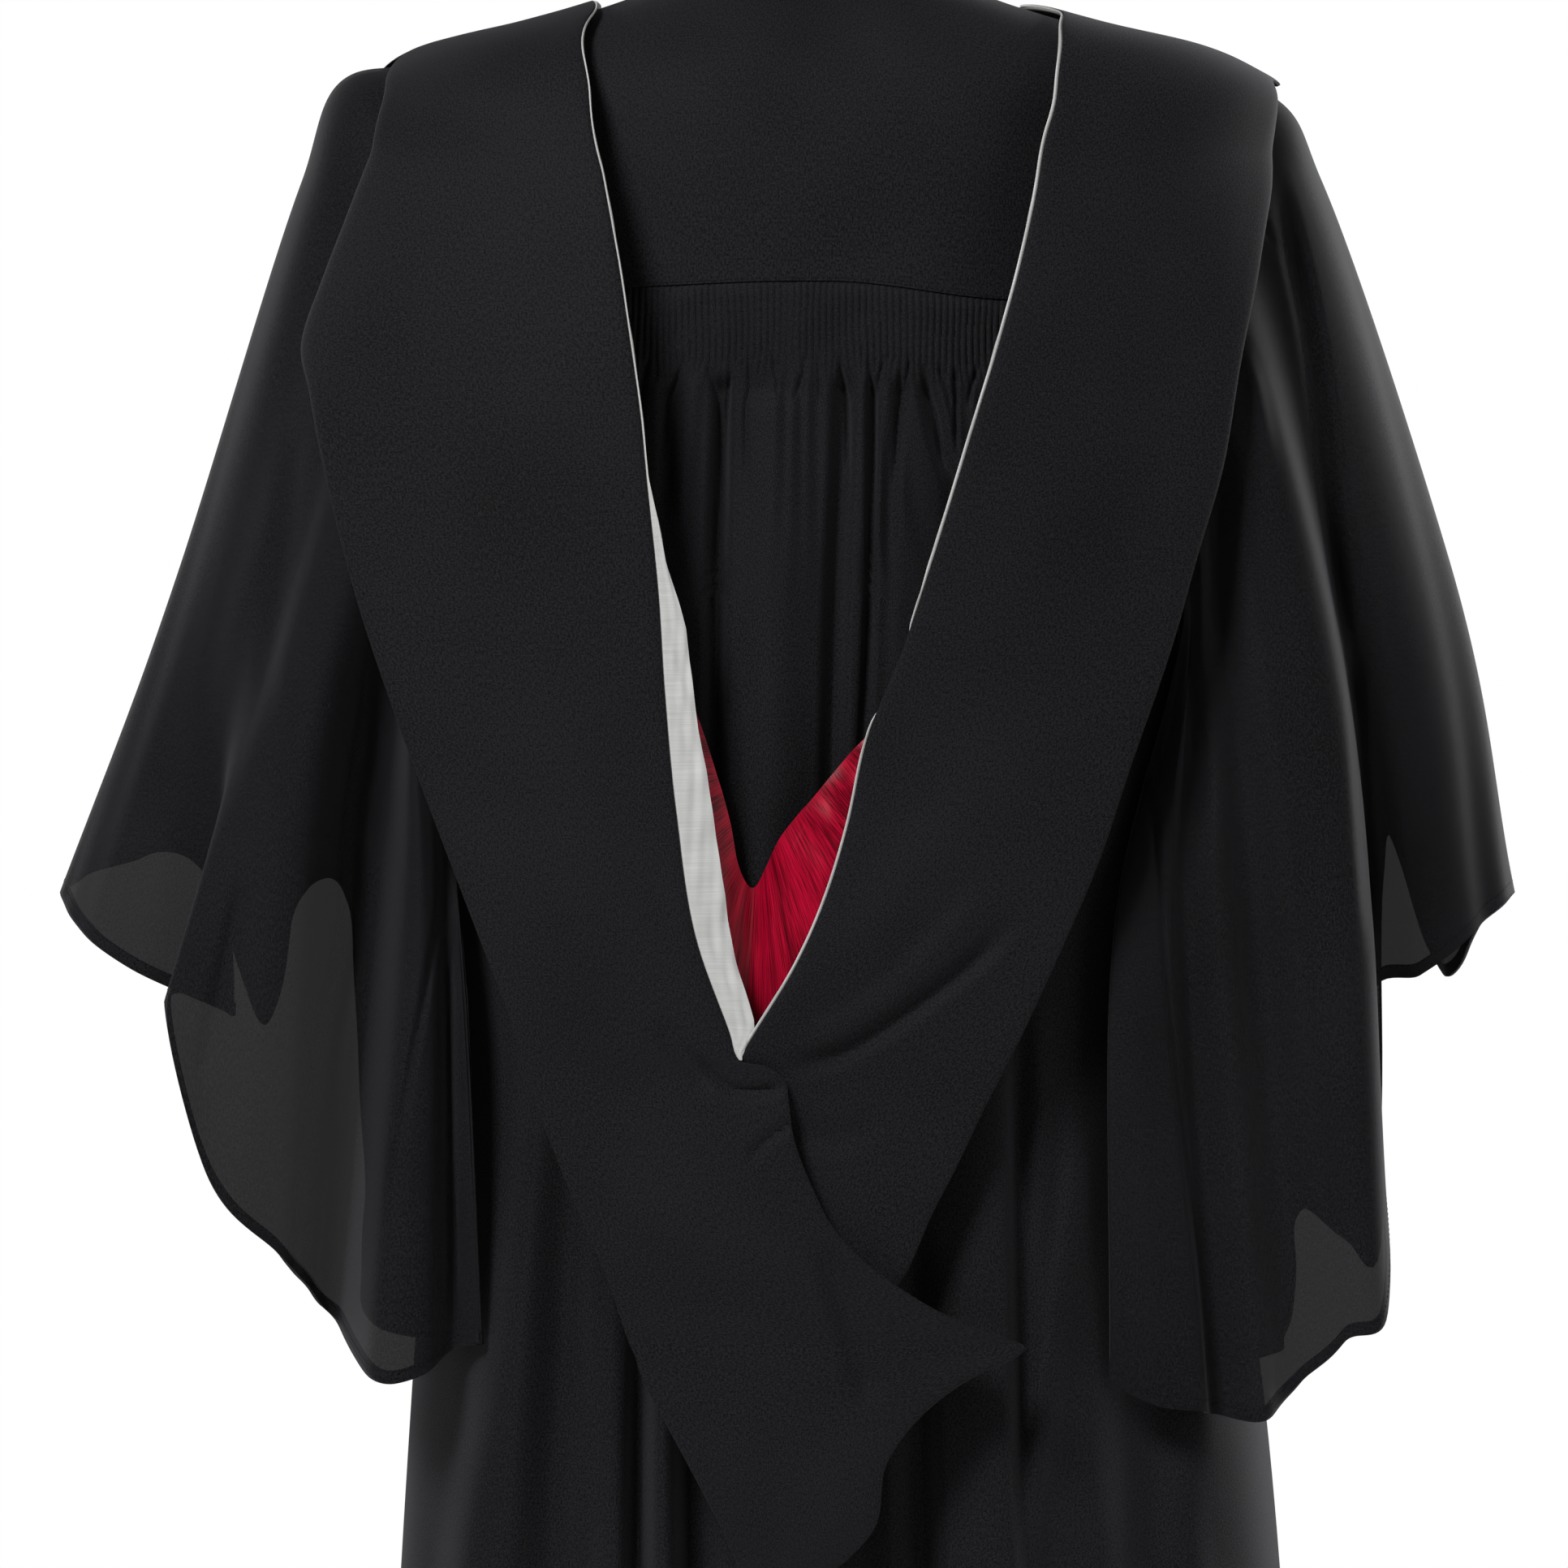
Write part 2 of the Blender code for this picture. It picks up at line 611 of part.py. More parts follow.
def hood_band_rows(side, crest_outer_z, back_rows, lift):
    """A band's crossings from the chest, over the shoulder and down the back."""
    rows = []
    crest = (1.0, CREST_INNER_Z, 1.0, crest_outer_z)
    for inner_turn, inner_z, outer_turn, outer_z in HOOD_FRONT[::-1] + (crest,):
        inner = (side * inner_turn, inner_z * MM)
        outer = (side * outer_turn, outer_z * MM)
        rows.append(band_crossing(inner, outer, 0, 0))
    for number, (inner_x, inner_z, outer_x, outer_z, stand_off) in enumerate(back_rows):
        inner = (CAPE.turn_at(inner_x * MM, inner_z * MM), inner_z * MM)
        outer = (CAPE.turn_at(outer_x * MM, outer_z * MM), outer_z * MM)
        ease = min(1.0, number / 4)
        rows.append(band_crossing(inner, outer, stand_off, lift * ease))
    return rows


def hood_left_grid():
    rows = hood_band_rows(-1, CREST_OUTER_Z_LEFT, HOOD_LEFT_BACK, TAIL_LIFT)
    for z, left, right, relief in HOOD_TAIL:
        inner = (CAPE.turn_at(right * MM, z * MM), z * MM)
        outer = (CAPE.turn_at(left * MM, z * MM), z * MM)
        rows.append(band_crossing(inner, outer, relief, TAIL_LIFT))
    return np.array(rows)


def hood_right_grid():
    return np.array(hood_band_rows(1, CREST_OUTER_Z_RIGHT, HOOD_RIGHT_BACK, 0))


def lining_grid():
    rows = []
    for free_x, free_z, hidden_x, hidden_z, free_depth, hidden_depth in LINING_ROWS:
        row = []
        for column in range(LINING_COLUMNS + 1):
            share = column / LINING_COLUMNS
            x = (free_x + (hidden_x - free_x) * share) * MM
            z = (free_z + (hidden_z - free_z) * share) * MM
            depth = free_depth + (hidden_depth - free_depth) * share
            belly = 1.5 * math.sin(math.pi * share)
            point = CAPE.point(CAPE.turn_at(x, z), z)
            point[1] -= (depth + belly) * MM
            row.append(point)
        rows.append(row)
    return np.array(rows)


def ribbon_grid(band, widths, bottom):
    """Ribbon along a band's inner edge, moved out from the band's own points."""
    heights = [row[0] * MM for row in widths[::-1]]
    reaches = [row[1] * MM for row in widths[::-1]]
    rows = []
    for number in range(len(HOOD_FRONT), len(band)):
        edge = band[number, 0]
        if not bottom * MM < edge[2] < RIBBON_TOP * MM:
            continue
        across = edge - band[number, 1]
        across /= np.linalg.norm(across)
        along = band[min(number + 1, len(band) - 1), 0] - band[number - 1, 0]
        out = np.cross(along, across)
        out *= -math.copysign(1, out[1]) / np.linalg.norm(out)
        reach = np.interp(edge[2], heights, reaches)
        start = edge + out * (RIBBON + SEAM_GAP)
        rows.append([start + across * step for step in np.linspace(-RIBBON_HOLD * MM, reach, 4)])
    return np.array(rows)


def cloth_material(name):
    colour, roughness = COLOURS[name]
    material = bpy.data.materials.new(name)
    material.use_nodes = True
    shader = material.node_tree.nodes["Principled BSDF"]
    shader.inputs["Base Color"].default_value = (*colour, 1.0)
    shader.inputs["Roughness"].default_value = roughness
    shader.inputs["Metallic"].default_value = 0.0
    return material


def grid_faces(rows, columns, first=0, closed=False, flip=False):
    faces = []
    last = columns if closed else columns - 1
    for row in range(rows - 1):
        for column in range(last):
            after = (column + 1) % columns
            corners = [
                first + row * columns + column,
                first + (row + 1) * columns + column,
                first + (row + 1) * columns + after,
                first + row * columns + after,
            ]
            faces.append(corners[::-1] if flip else corners)
    return faces


def facing_in(grid, closed):
    """Whether the grid's faces, as they are wound, look towards its own axis."""
    down = grid[1:, :] - grid[:-1, :]
    across = np.roll(grid, -1, axis=1) - grid
    if not closed:
        across = across[:, :-1]
        down = down[:, :-1]
    normals = np.cross(down, across[:-1])
    if closed:
        axis = grid.mean(axis=1, keepdims=True)[:-1]
    else:
        axis = grid[:-1, :-1] * (0, 0, 1)
    away = grid[:-1, : normals.shape[1]] - axis
    return float((normals * away).sum()) < 0


def add_object(name, points, faces, material):
    mesh = bpy.data.meshes.new(name)
    mesh.from_pydata([tuple(point) for point in points], [], faces)
    mesh.update()
    mesh.shade_smooth()
    mesh.materials.append(cloth_material(material))
    created = bpy.data.objects.new(name, mesh)
    GOWN.objects.link(created)
    return created


def add_cloth(name, grid, material="crepe", closed=False, thickness=CLOTH):
    """A cloth piece: an open sheet whose wall lies inside its outer face."""
    rows, columns = grid.shape[:2]
    faces = grid_faces(rows, columns, closed=closed, flip=facing_in(grid, closed))
    piece = add_object(name, grid.reshape(-1, 3), faces, material)
    wall = piece.modifiers.new("Wall", "SOLIDIFY")
    wall.thickness = thickness
    wall.offset = -1
    wall.use_quality_normals = True
    return piece


def add_raised_cloth(name, outer, inner, material="crepe"):
    """A wall whose outer points are raised over a plain inside."""
    rows, columns = outer.shape[:2]
    count = rows * columns
    faces = grid_faces(rows, columns)
    faces += grid_faces(rows, columns, first=count, flip=True)
    border = [column for column in range(columns)]
    border += [row * columns + columns - 1 for row in range(1, rows)]
    border += [(rows - 1) * columns + column for column in range(columns - 2, -1, -1)]
    border += [row * columns for row in range(rows - 2, 0, -1)]
    for start, end in zip(border, border[1:] + border[:1]):
        faces.append((start, end, end + count, start + count))
    points = np.concatenate([outer.reshape(-1, 3), inner.reshape(-1, 3)])
    return add_object(name, points, faces, material)


for old in list(bpy.data.objects):
    bpy.data.objects.remove(old, do_unlink=True)
GOWN = bpy.data.collections.new("graduation_gown")
bpy.context.scene.collection.children.link(GOWN)

yoke = yoke_grid()
flute_outer, flute_inner = flute_grids()
back = back_grid()
front_left = front_grid(-1)
front_right = front_grid(1)
left_ring = armhole_ring(-1, yoke, flute_outer, back, front_left)
right_ring = armhole_ring(1, yoke, flute_outer, back, front_right)
hood_left = hood_left_grid()
hood_right = hood_right_grid()

add_cloth("yoke", yoke)
add_raised_cloth("fluted_band", flute_outer, flute_inner)
add_cloth("back_panel", back)
add_cloth("front_left", front_left)
add_cloth("front_right", front_right)
sleeve_left = sleeve_grid(-1, LEFT_SLEEVE_LINES, HEAD_RISE_LEFT, left_ring)
sleeve_right = sleeve_grid(1, RIGHT_SLEEVE_LINES, HEAD_RISE_RIGHT, right_ring)
add_cloth("sleeve_left", sleeve_left, closed=True)
add_cloth("sleeve_right", sleeve_right, closed=True)
add_cloth("hood_left", hood_left)
add_cloth("hood_right", hood_right)
add_cloth("hood_lining", lining_grid(), material="satin", thickness=RIBBON)
add_cloth("ribbon_left", ribbon_grid(hood_left, RIBBON_LEFT, RIBBON_BOTTOM), "ribbon", thickness=RIBBON)
add_cloth("ribbon_right", ribbon_grid(hood_right, RIBBON_RIGHT, RIBBON_BOTTOM), "ribbon", thickness=RIBBON)
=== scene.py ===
"""Graduation gown with its academic hood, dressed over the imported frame.

Every cloth piece is a thin shell laid on the same two forms as the solids: the gown's own form
and the form that the hood lies on. Tables are millimetres, x to the gown's own right, z up.
"""

import math

import bpy
import numpy as np
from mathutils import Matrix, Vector


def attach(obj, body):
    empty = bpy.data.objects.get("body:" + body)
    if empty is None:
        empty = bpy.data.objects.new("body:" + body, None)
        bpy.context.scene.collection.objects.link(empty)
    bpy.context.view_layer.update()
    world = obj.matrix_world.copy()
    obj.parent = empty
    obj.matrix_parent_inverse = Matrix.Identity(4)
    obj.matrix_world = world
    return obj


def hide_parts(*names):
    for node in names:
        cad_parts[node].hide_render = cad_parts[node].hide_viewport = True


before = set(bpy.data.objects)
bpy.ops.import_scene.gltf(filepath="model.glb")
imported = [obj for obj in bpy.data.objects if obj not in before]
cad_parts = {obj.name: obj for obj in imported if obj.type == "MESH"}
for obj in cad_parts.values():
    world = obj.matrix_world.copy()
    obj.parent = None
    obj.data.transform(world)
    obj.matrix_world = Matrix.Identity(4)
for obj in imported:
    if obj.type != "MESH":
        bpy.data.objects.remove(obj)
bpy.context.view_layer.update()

bl_info = {
    "name": "Graduation gown",
    "version": (1, 0, 0),
    "blender": (4, 5, 0),
    "location": "View3D > Sidebar > Gown",
    "description": "Cuts, gathers and hangs a graduation gown and its hood",
    "category": "Add Mesh",
}

MM = 0.001

# The form of the gown

BODY_RINGS = (
    # side, back, front, half, y_back, y_front, shift
    (42, 58, -40, 72, -62, 50, 0),
    (31, 38, -75, 105, -85, 75, 0),
    (19, 8, -100, 150, -104, 95, 0),
    (8, -26, -125, 192, -118, 110, 0),
    (-38, -58, -150, 198, -125, 120, 0),
    (-100, -122, -180, 199, -128, 124, 0),
    (-160, -178, -215, 197, -130, 126, 0),
    (-290, -290, -290, 195, -134, 126, 1),
    (-500, -500, -500, 205, -140, 130, 7),
    (-700, -700, -700, 226, -150, 136, 14),
    (-1100, -1100, -1100, 250, -170, 155, 16),
)

# The form that the hood lies on

CAPE_RINGS = (
    # side, back, front, half, y_back, y_front, shift
    (49, 65, -33, 77, -68, 56, 0),
    (34.7, 43, -68, 110, -91, 81, 0),
    (22.6, 14, -93, 155, -111, 101, 0),
    (11.8, -18.5, -117, 203, -128, 117, 0),
    (-4, -41, -135, 241, -136, 127, 0),
    (-50, -77, -160, 260, -143, 134, 0),
    (-106, -122, -190, 279, -149, 139, 0),
    (-180, -180, -220, 302, -156, 142, 0),
    (-290, -290, -290, 335, -161, 145, 0),
    (-500, -500, -500, 345, -168, 150, 0),
    (-700, -700, -700, 350, -178, 156, 0),
    (-1100, -1100, -1100, 360, -200, 170, 0),
)
ROUNDNESS = 2.5

ARMHOLE_Z = -139 * MM
ARMHOLE_HALF_HEIGHT = 141 * MM
ARMHOLE_HALF_SPAN = 0.36
ARMHOLE_FOOT_DROP = 70 * MM

YOKE_SEAM_Z = -122 * MM
FLUTES_END_Z = -166 * MM
FRONT_SEAM_Z = -150 * MM
HEM_Z = -1100 * MM
FRONT_OPENING = 1.78
SEAM_GAP = 0.3 * MM

FLATTENED_AT = -12 * MM
FLATTENED_HALF = 6 * MM
FLUTES_SHOWN = 107 * MM
GATHER_COUNT = 24

# Folds of the back panel, each a line down the cloth; a ridge is positive

BACK_FOLDS = (
    # z of three points, x of three points, depth of each, half width left, right
    ((-176, -240, -380), (-46, -48, -50), (-8, -12, -8), 8, 8),
    ((-172, -260, -420), (17, 13, 9), (-6, -11, -8), 9, 9),
    ((-176, -290, -400), (31, 29.5, 24), (-6, -8, -4), 5, 5),
    ((-176, -235, -300), (45, 40, 38), (-3, -4, -1), 7, 7),
    ((-172, -200, -227), (59, 65, 73), (-5, -6, -3), 8, 8),
    ((-176, -205, -235), (-73, -73, -74), (-5, -5, -2), 8, 8),
    ((-190, -300, -520), (-18, -19, -22), (4, 8, 6), 26, 26),
    ((-430, -640, -786), (-128, -149, -178), (4, 13, 11), 22, 46),
    ((-440, -640, -786), (-184, -190, -206), (-4, -7, -3), 34, 26),
    ((-520, -620, -786), (-122, -127, -135), (-6, -12, -10), 22, 18),
    ((-600, -670, -900), (-104, -103, -103), (6, 8, 6), 16, 16),
    ((-620, -700, -900), (-87, -89, -90), (-6, -12, -8), 9, 12),
    ((-640, -729, -900), (-76, -76, -76), (7, 11, 8), 14, 14),
    ((-650, -730, -930), (-64, -62, -60), (-8, -18, -10), 12, 22),
    ((-640, -740, -930), (-20, -22, -24), (6, 12, 10), 30, 30),
    ((-640, -740, -930), (20, 22, 26), (-4, -8, -8), 24, 20),
    ((-640, -730, -930), (52, 55, 60), (-6, -12, -10), 16, 14),
    ((-540, -652, -860), (94, 96, 101), (8, 12, 10), 40, 13),
    ((-540, -652, -860), (106, 108, 113), (-6, -9, -8), 9, 18),
    ((-520, -592, -900), (116, 114, 112), (4, 6, 4), 12, 12),
    ((-590, -664, -820), (136, 123, 106), (5, 9, 5), 12, 16),
    ((-470, -640, -900), (164, 170, 188), (-8, -17, -10), 34, 34),
    ((-760, -850, -1000), (190, 200, 206), (6, 9, 9), 20, 20),
    ((-800, -950, -1100), (-170, -180, -190), (6, 14, 16), 30, 30),
    ((-800, -950, -1100), (-120, -124, -128), (-6, -12, -14), 26, 26),
    ((-800, -950, -1100), (0, -2, -4), (-4, -10, -12), 24, 24),
    ((-800, -950, -1100), (130, 140, 150), (-4, -12, -14), 30, 30),
)

# Creases are soft lines pressed into a cloth: path of x, z points, depth, half width

GATHER_CREASES = (
    (((-65, -160), (-71, -177), (-75, -188), (-76, -216)), 2.6, 2.6),
    (((-56, -160), (-49, -182), (-47, -198), (-46, -250)), 3.0, 2.6),
    (((-41, -160), (-43, -184), (-44, -202), (-44, -262)), 2.6, 2.2),
    (((-32, -160), (-32, -179), (-34, -190), (-33, -236)), 2.0, 2.4),
    (((-22, -158), (-18.5, -169), (-17.5, -182)), 1.6, 1.8),
    (((-3, -158), (-5, -172), (-12, -188)), 1.4, 2.2),
    (((2.5, -156), (3.6, -172), (4, -186)), 1.2, 1.6),
    (((13, -158), (16.4, -176), (18.5, -190), (18.5, -240)), 3.2, 2.4),
    (((28, -160), (31, -176), (32.3, -190), (31.5, -250)), 3.0, 2.2),
    (((38, -160), (34.5, -172), (34, -184)), 1.6, 1.6),
    (((45, -162), (45.6, -182), (44, -196), (42, -240)), 2.4, 2.4),
    (((51, -160), (48.6, -172), (48, -184)), 1.6, 1.6),
    (((56.5, -162), (60, -180), (64.5, -196), (68, -226)), 3.2, 3.0),
    (((64, -164), (69, -177), (72, -190)), 2.0, 2.0),
    (((74, -164), (74, -186), (74, -214)), 2.8, 2.4),
    (((86, -164), (82, -177), (80.5, -188)), 2.0, 2.2),
    (((-84, -160), (-87, -178), (-88, -204)), 2.4, 2.8),
    (((94, -166), (92, -184), (91, -208)), 2.4, 2.8),
)

LEFT_HOOD_CREASES = (
    (((-62, -516), (-52, -525), (-42, -534), (-33, -536), (-22, -535), (-8, -531)), 4.0, 5.0),
    (((-8, -550), (-14, -554), (-19, -557), (-27, -564), (-34, -572)), 3.0, 4.0),
    (((-78, -500), (-70, -512), (-60, -524), (-50, -540)), 2.0, 9.0),
    (((4, -606), (12, -630), (18.5, -650), (26, -676), (32, -696)), 4.2, 12.0),
    (((-120, -560), (-96, -640), (-70, -700)), 2.2, 22.0),
    (((-190, -60), (-176, -190), (-150, -330)), 1.6, 30.0),
)
RIGHT_HOOD_CREASES = (
    (
        ((-20, -524), (0, -521), (16, -516), (39.5, -502), (63.4, -485), (87, -466), (112, -440)),
        5.0,
        9.0,
    ),
    (((-8, -512), (24, -500), (60, -470), (96, -430)), -2.4, 14.0),
    (((10, -480), (50, -430), (96, -380)), -1.8, 26.0),
    (((-24, -548), (10, -560), (40, -548)), 1.6, 12.0),
    (((196, -60), (176, -190), (140, -300)), 1.6, 28.0),
)

LEFT_SLEEVE_CREASES = (
    (
        ((-220, -276), (-229, -353), (-236, -400), (-240, -460), (-250, -521), (-256, -610)),
        9.0,
        9.0,
    ),
    (((-268, -176), (-273, -235), (-281, -306), (-284, -360)), 2.4, 11.0),
    (((-190, -426), (-197, -479), (-206, -525), (-214, -571), (-218, -615)), 3.2, 3.6),
    (((-188, -450), (-186.5, -520), (-186.5, -600), (-186, -690)), 7.0, 6.0),
    (((-294, -425), (-300, -460), (-310, -505), (-316, -540)), 3.4, 7.0),
)
RIGHT_SLEEVE_CREASES = (
    (
        ((242, -54), (252, -100), (261, -143), (267, -185), (272, -231), (276, -281), (282, -350)),
        9.0,
        9.0,
    ),
    (((282, -300), (286, -380), (292, -470)), 8.0, 9.0),
    (((234, -86), (244, -100)), 1.6, 3.0),
    (((223, -155), (229, -172), (233, -193), (236, -214)), -2.2, 7.0),
    (((205, -186), (211, -225), (210, -260), (204, -320), (200, -380), (196, -430)), 8.0, 13.0),
    (((171, -345), (176, -395), (183, -491), (193, -584), (203, -660)), 3.4, 3.4),
)

# Folds of each front, by their share of the way from the side seam to the opening

FRONT_FOLDS = (
    # share, depth at the top, depth at the hem, half width as a share
    (0.16, 2, 14, 0.11),
    (0.33, -2, -13, 0.10),
    (0.52, 3, 15, 0.11),
    (0.70, -2, -12, 0.10),
    (0.88, 2, 9, 0.11),
)

# Sleeves: fold lines going round from the top of the armhole over the back

LEFT_SLEEVE_LINES = (
    # angle, middle x, y, z, hem x, y, z
    (0, -335, 0, -262, -397, -18, -440),
    (30, -318, -45, -295, -355, -62, -478),
    (46, -302, -64, -308, -304, -56, -502),
    (62, -284, -86, -322, -334, -104, -494),
    (76, -270, -103, -318, -313, -112, -580),
    (94, -252, -110, -353, -273, -106, -625),
    (108, -236, -88, -377, -261, -72, -645),
    (119, -223, -72, -398, -247, -66, -664),
    (131, -208, -113, -434, -227, -122, -686),
    (146, -196, -117, -440, -200, -124, -684),
    (156, -189, -105, -458, -184, -108, -672),
    (166, -180, -112, -470, -170, -114, -669),
    (182, -214, -66, -440, -226, -64, -664),
    (205, -228, 4, -400, -236, 10, -608),
    (232, -240, 64, -350, -250, 88, -452),
    (258, -260, 74, -330, -276, 80, -440),
    (282, -278, 84, -318, -300, 96, -512),
    (302, -298, 66, -306, -328, 74, -432),
    (334, -325, 36, -280, -378, 34, -425),
)
RIGHT_SLEEVE_LINES = (
    # angle, middle x, y, z, hem x, y, z
    (0, 340, 0, -262, 374, -10, -438),
    (14, 330, -24, -274, 359, -30, -449),
    (27, 315, -43, -287, 342, -45, -465),
    (39, 298, -53, -296, 320, -50, -481),
    (50, 280, -58, -302, 293, -50, -497),
    (62, 277, -101, -340, 300, -106, -632),
    (80, 240, -116, -355, 274, -119, -668),
    (95, 221, -107, -375, 252, -107, -690),
    (109, 206, -121, -395, 233, -122, -708),
    (122, 191, -113, -425, 210, -109, -706),
    (133, 181, -124, -445, 201, -122, -703),
    (146, 168, -128, -452, 176, -132, -699),
    (158, 156, -124, -450, 154, -129, -686),
    (176, 208, -90, -430, 223, -96, -680),
    (203, 226, 4, -410, 254, 10, -668),
    (226, 236, 58, -388, 268, 84, -612),
    (240, 248, 68, -372, 292, 82, -629),
    (251, 260, 74, -360, 309, 78, -640),
    (262, 270, 76, -348, 311, 78, -560),
    (276, 282, 76, -326, 311, 82, -436),
    (288, 292, 74, -316, 318, 82, -408),
    (303, 303, 60, -308, 338, 58, -474),
    (334, 326, 34, -282, 360, 26, -456),
)
HEAD_RISE_LEFT = 22
HEAD_RISE_RIGHT = 11
SLEEVE_KNOTS = (0, 0.1, 0.28, 0.58, 1.0)
ARMHOLE_GAP = 0.6 * MM

# Hood bands: crossings from the inner edge to the outer one

HOOD_LEFT_BACK = (
    # inner x, inner z, outer x, outer z, how far the inner edge stands off
    (-113, 27, -213, 4, 0),
    (-118, 13, -222, -20, 1),
    (-115, -22, -228, -48, 4),
    (-109, -62, -241, -84, 8),
    (-100, -108, -254, -118, 10),
    (-94, -146, -265, -152, 11),
    (-89, -180, -260, -178, 10),
    (-84, -227, -246, -240, 9),
    (-78, -285, -232, -290, 6),
    (-75, -332, -217, -334, 4),
    (-69, -395, -193, -398, 3),
    (-58, -462, -168, -462, 3),
    (-42, -506, -153, -500, 4),
    (-37, -520, -149, -512, 5),
)
HOOD_TAIL = (
    # z, left x, right x, relief at the right edge
    (-524, -147, -21, 6),
    (-530, -145, -14, 6),
    (-540, -141, -12, 7),
    (-556, -135, -10, 8),
    (-584, -124, 0, 7),
    (-605, -115, 11, 6),
    (-621, -108, 26, 6),
    (-636, -102, 46, 6),
    (-651, -97, 73, 7),
    (-660, -94, 97, 8),
    (-665, -92, 108, 8),
    (-669, -90, 104, 8),
    (-676, -88, 88, 8),
    (-689, -82, 67, 7),
    (-722, -64, 38, 6),
    (-756, -46, 31, 5),
    (-785, -32, 1, 4),
    (-798, -21, -15, 3),
)
HOOD_RIGHT_BACK = (
    # inner x, inner z, outer x, outer z, how far the inner edge stands off
    (130, 26, 243, -12, 0),
    (130, 12, 244, -27, 1),
    (127, -15, 241, -47, 3),
    (122, -42, 240, -67, 4),
    (116, -71, 236, -90, 5),
    (107, -113, 230, -122, 6),
    (97, -150, 222, -158, 6),
    (80, -206, 211, -218, 5),
    (63, -261, 197, -265, 5),
    (46, -312, 184, -310, 5),
    (28, -357, 163, -370, 4),
    (18, -402, 146, -420, 3),
    (7, -438, 128, -462, 2),
    (-8, -472, 108, -505, 4),
    (-30, -508, 84, -552, 8),
    (-39, -523, 74, -573, 6),
    (-48, -540, 62, -596, -4),
    (-58, -572, 45, -632, -8),
    (-66, -600, 20, -660, -8),
)
HOOD_FRONT = (
    # inner turn, inner z, outer turn, outer z
    (1.09, 32, 1.07, -2),
    (1.2, 20, 1.16, -18),
    (1.34, -10, 1.28, -52),
    (1.52, -55, 1.44, -110),
    (1.70, -108, 1.62, -165),
    (1.86, -158, 1.80, -215),
    (1.9994, -198, 1.9994, -250),
)
CREST_INNER_Z = 33.7
CREST_OUTER_Z_LEFT = 6
CREST_OUTER_Z_RIGHT = -8
TAIL_LIFT = 5

# Lining turned out in the V of the hood, from its free edge to the hidden one

LINING_ROWS = (
    # free x, free z, hidden x, hidden z, depth of the free edge, depth of the hidden edge
    (-67, -326, -90, -316, 1, 6),
    (-61, -339, -87, -332, -1, 5),
    (-54, -358, -82, -352, -4, 5),
    (-49, -374, -77, -378, -6, 5),
    (-45, -387, -73, -402, -8, 4),
    (-41, -403, -68, -424, -10, 4),
    (-38, -420, -61, -452, -12, 2),
    (-33.5, -431, -48, -494, -15, -4),
    (-29, -433, -34, -530, -18, -14),
    (-24, -424, -16, -506, -16, -10),
    (-17, -409, 4, -466, -11, -3),
    (-8, -397, 16, -440, -8, -1),
    (0, -388, 25, -420, -6, 0),
    (9, -377, 31, -404, -5, 0),
    (20, -364, 39, -386, -4, 1),
    (30, -353, 47, -368, -4, 1),
    (41, -332, 58, -340, -4, 1),
)

# Ribbon past the inner edge of each band, by height

RIBBON_HOLD = 3
RIBBON_LEFT = (
    # z, how far the free edge stands past the band's edge
    (60, 1.1),
    (-60, 0.9),
    (-150, 1.0),
    (-225, 1.2),
    (-248, 3.8),
    (-269, 5.5),
    (-290, 10.5),
    (-302, 13),
    (-332, 14.7),
    (-353, 15.6),
    (-374, 18),
    (-416, 19.3),
    (-437, 19.7),
    (-458, 18.5),
    (-479, 16.6),
    (-500, 15.2),
    (-507, 12.6),
    (-512, 8.8),
    (-516, 4.8),
    (-521, 0.8),
)
RIBBON_RIGHT = (
    (60, 1.8),
    (-270, 1.7),
    (-300, 0.4),
    (-308, -1.6),
    (-338, -1.6),
    (-348, 0.4),
    (-364, 1.4),
    (-530, 1.6),
)
RIBBON_ROWS_OVER = 8
RIBBON_BOTTOM = -521

BACK_WALL = 1.0 * MM
HEM_WALL = 0.6 * MM
GOWN_HEM = 14 * MM
HOOD_COLUMNS = 84
HOOD_STEP_LEFT = 3.4 * MM
HOOD_STEP_RIGHT = 3.6 * MM
SIDE_SEAM_TOP = -281 * MM
SLEEVE_ROWS = np.concatenate([np.linspace(0, 0.3, 37)[:-1], np.linspace(0.3, 1, 58)])

LAMPS = (
    # name, place, size, share of the key light's power
    ("key", (-1.55, -2.45, 1.95), 1.0, 1.0),
    ("fill", (2.8, -2.0, 0.3), 2.0, 0.13),
    ("left_edge", (-1.9, 1.7, 0.6), 1.6, 0.2),
    ("right_edge", (1.9, 1.3, 0.2), 1.6, 0.6),
)
LAMPS_AIM = (0, 0, -0.4)
CAMERA_PLACE = (-0.0143, -3.5, -0.3805)
SENSOR_WIDTH = 36
VIEW_DISTANCE = 3.4
VIEW_WIDTH = 0.8114
BACKDROP_LIGHT = 1.0

def smooth_curve(at, knots, values):
    """Values of a smooth curve through the given points; values may have more axes."""
    knots = np.asarray(knots, float)
    values = np.asarray(values, float)
    at = np.clip(np.asarray(at, float), knots[0], knots[-1])
    slopes = np.gradient(values, knots, axis=0)
    place = np.clip(np.searchsorted(knots, at, side="right") - 1, 0, len(knots) - 2)
    span = knots[place + 1] - knots[place]
    share = (at - knots[place]) / span
    extra = (1,) * (values.ndim - 1)
    span = span.reshape(span.shape + extra)
    share = share.reshape(share.shape + extra)
    rise = share * share * (3 - 2 * share)
    start = share * (1 - share) ** 2 * span
    end = share * share * (share - 1) * span
    low, high = values[place], values[place + 1]
    return low + (high - low) * rise + slopes[place] * start + slopes[place + 1] * end


def soft_step(value):
    value = np.clip(value, 0, 1)
    return value * value * (3 - 2 * value)


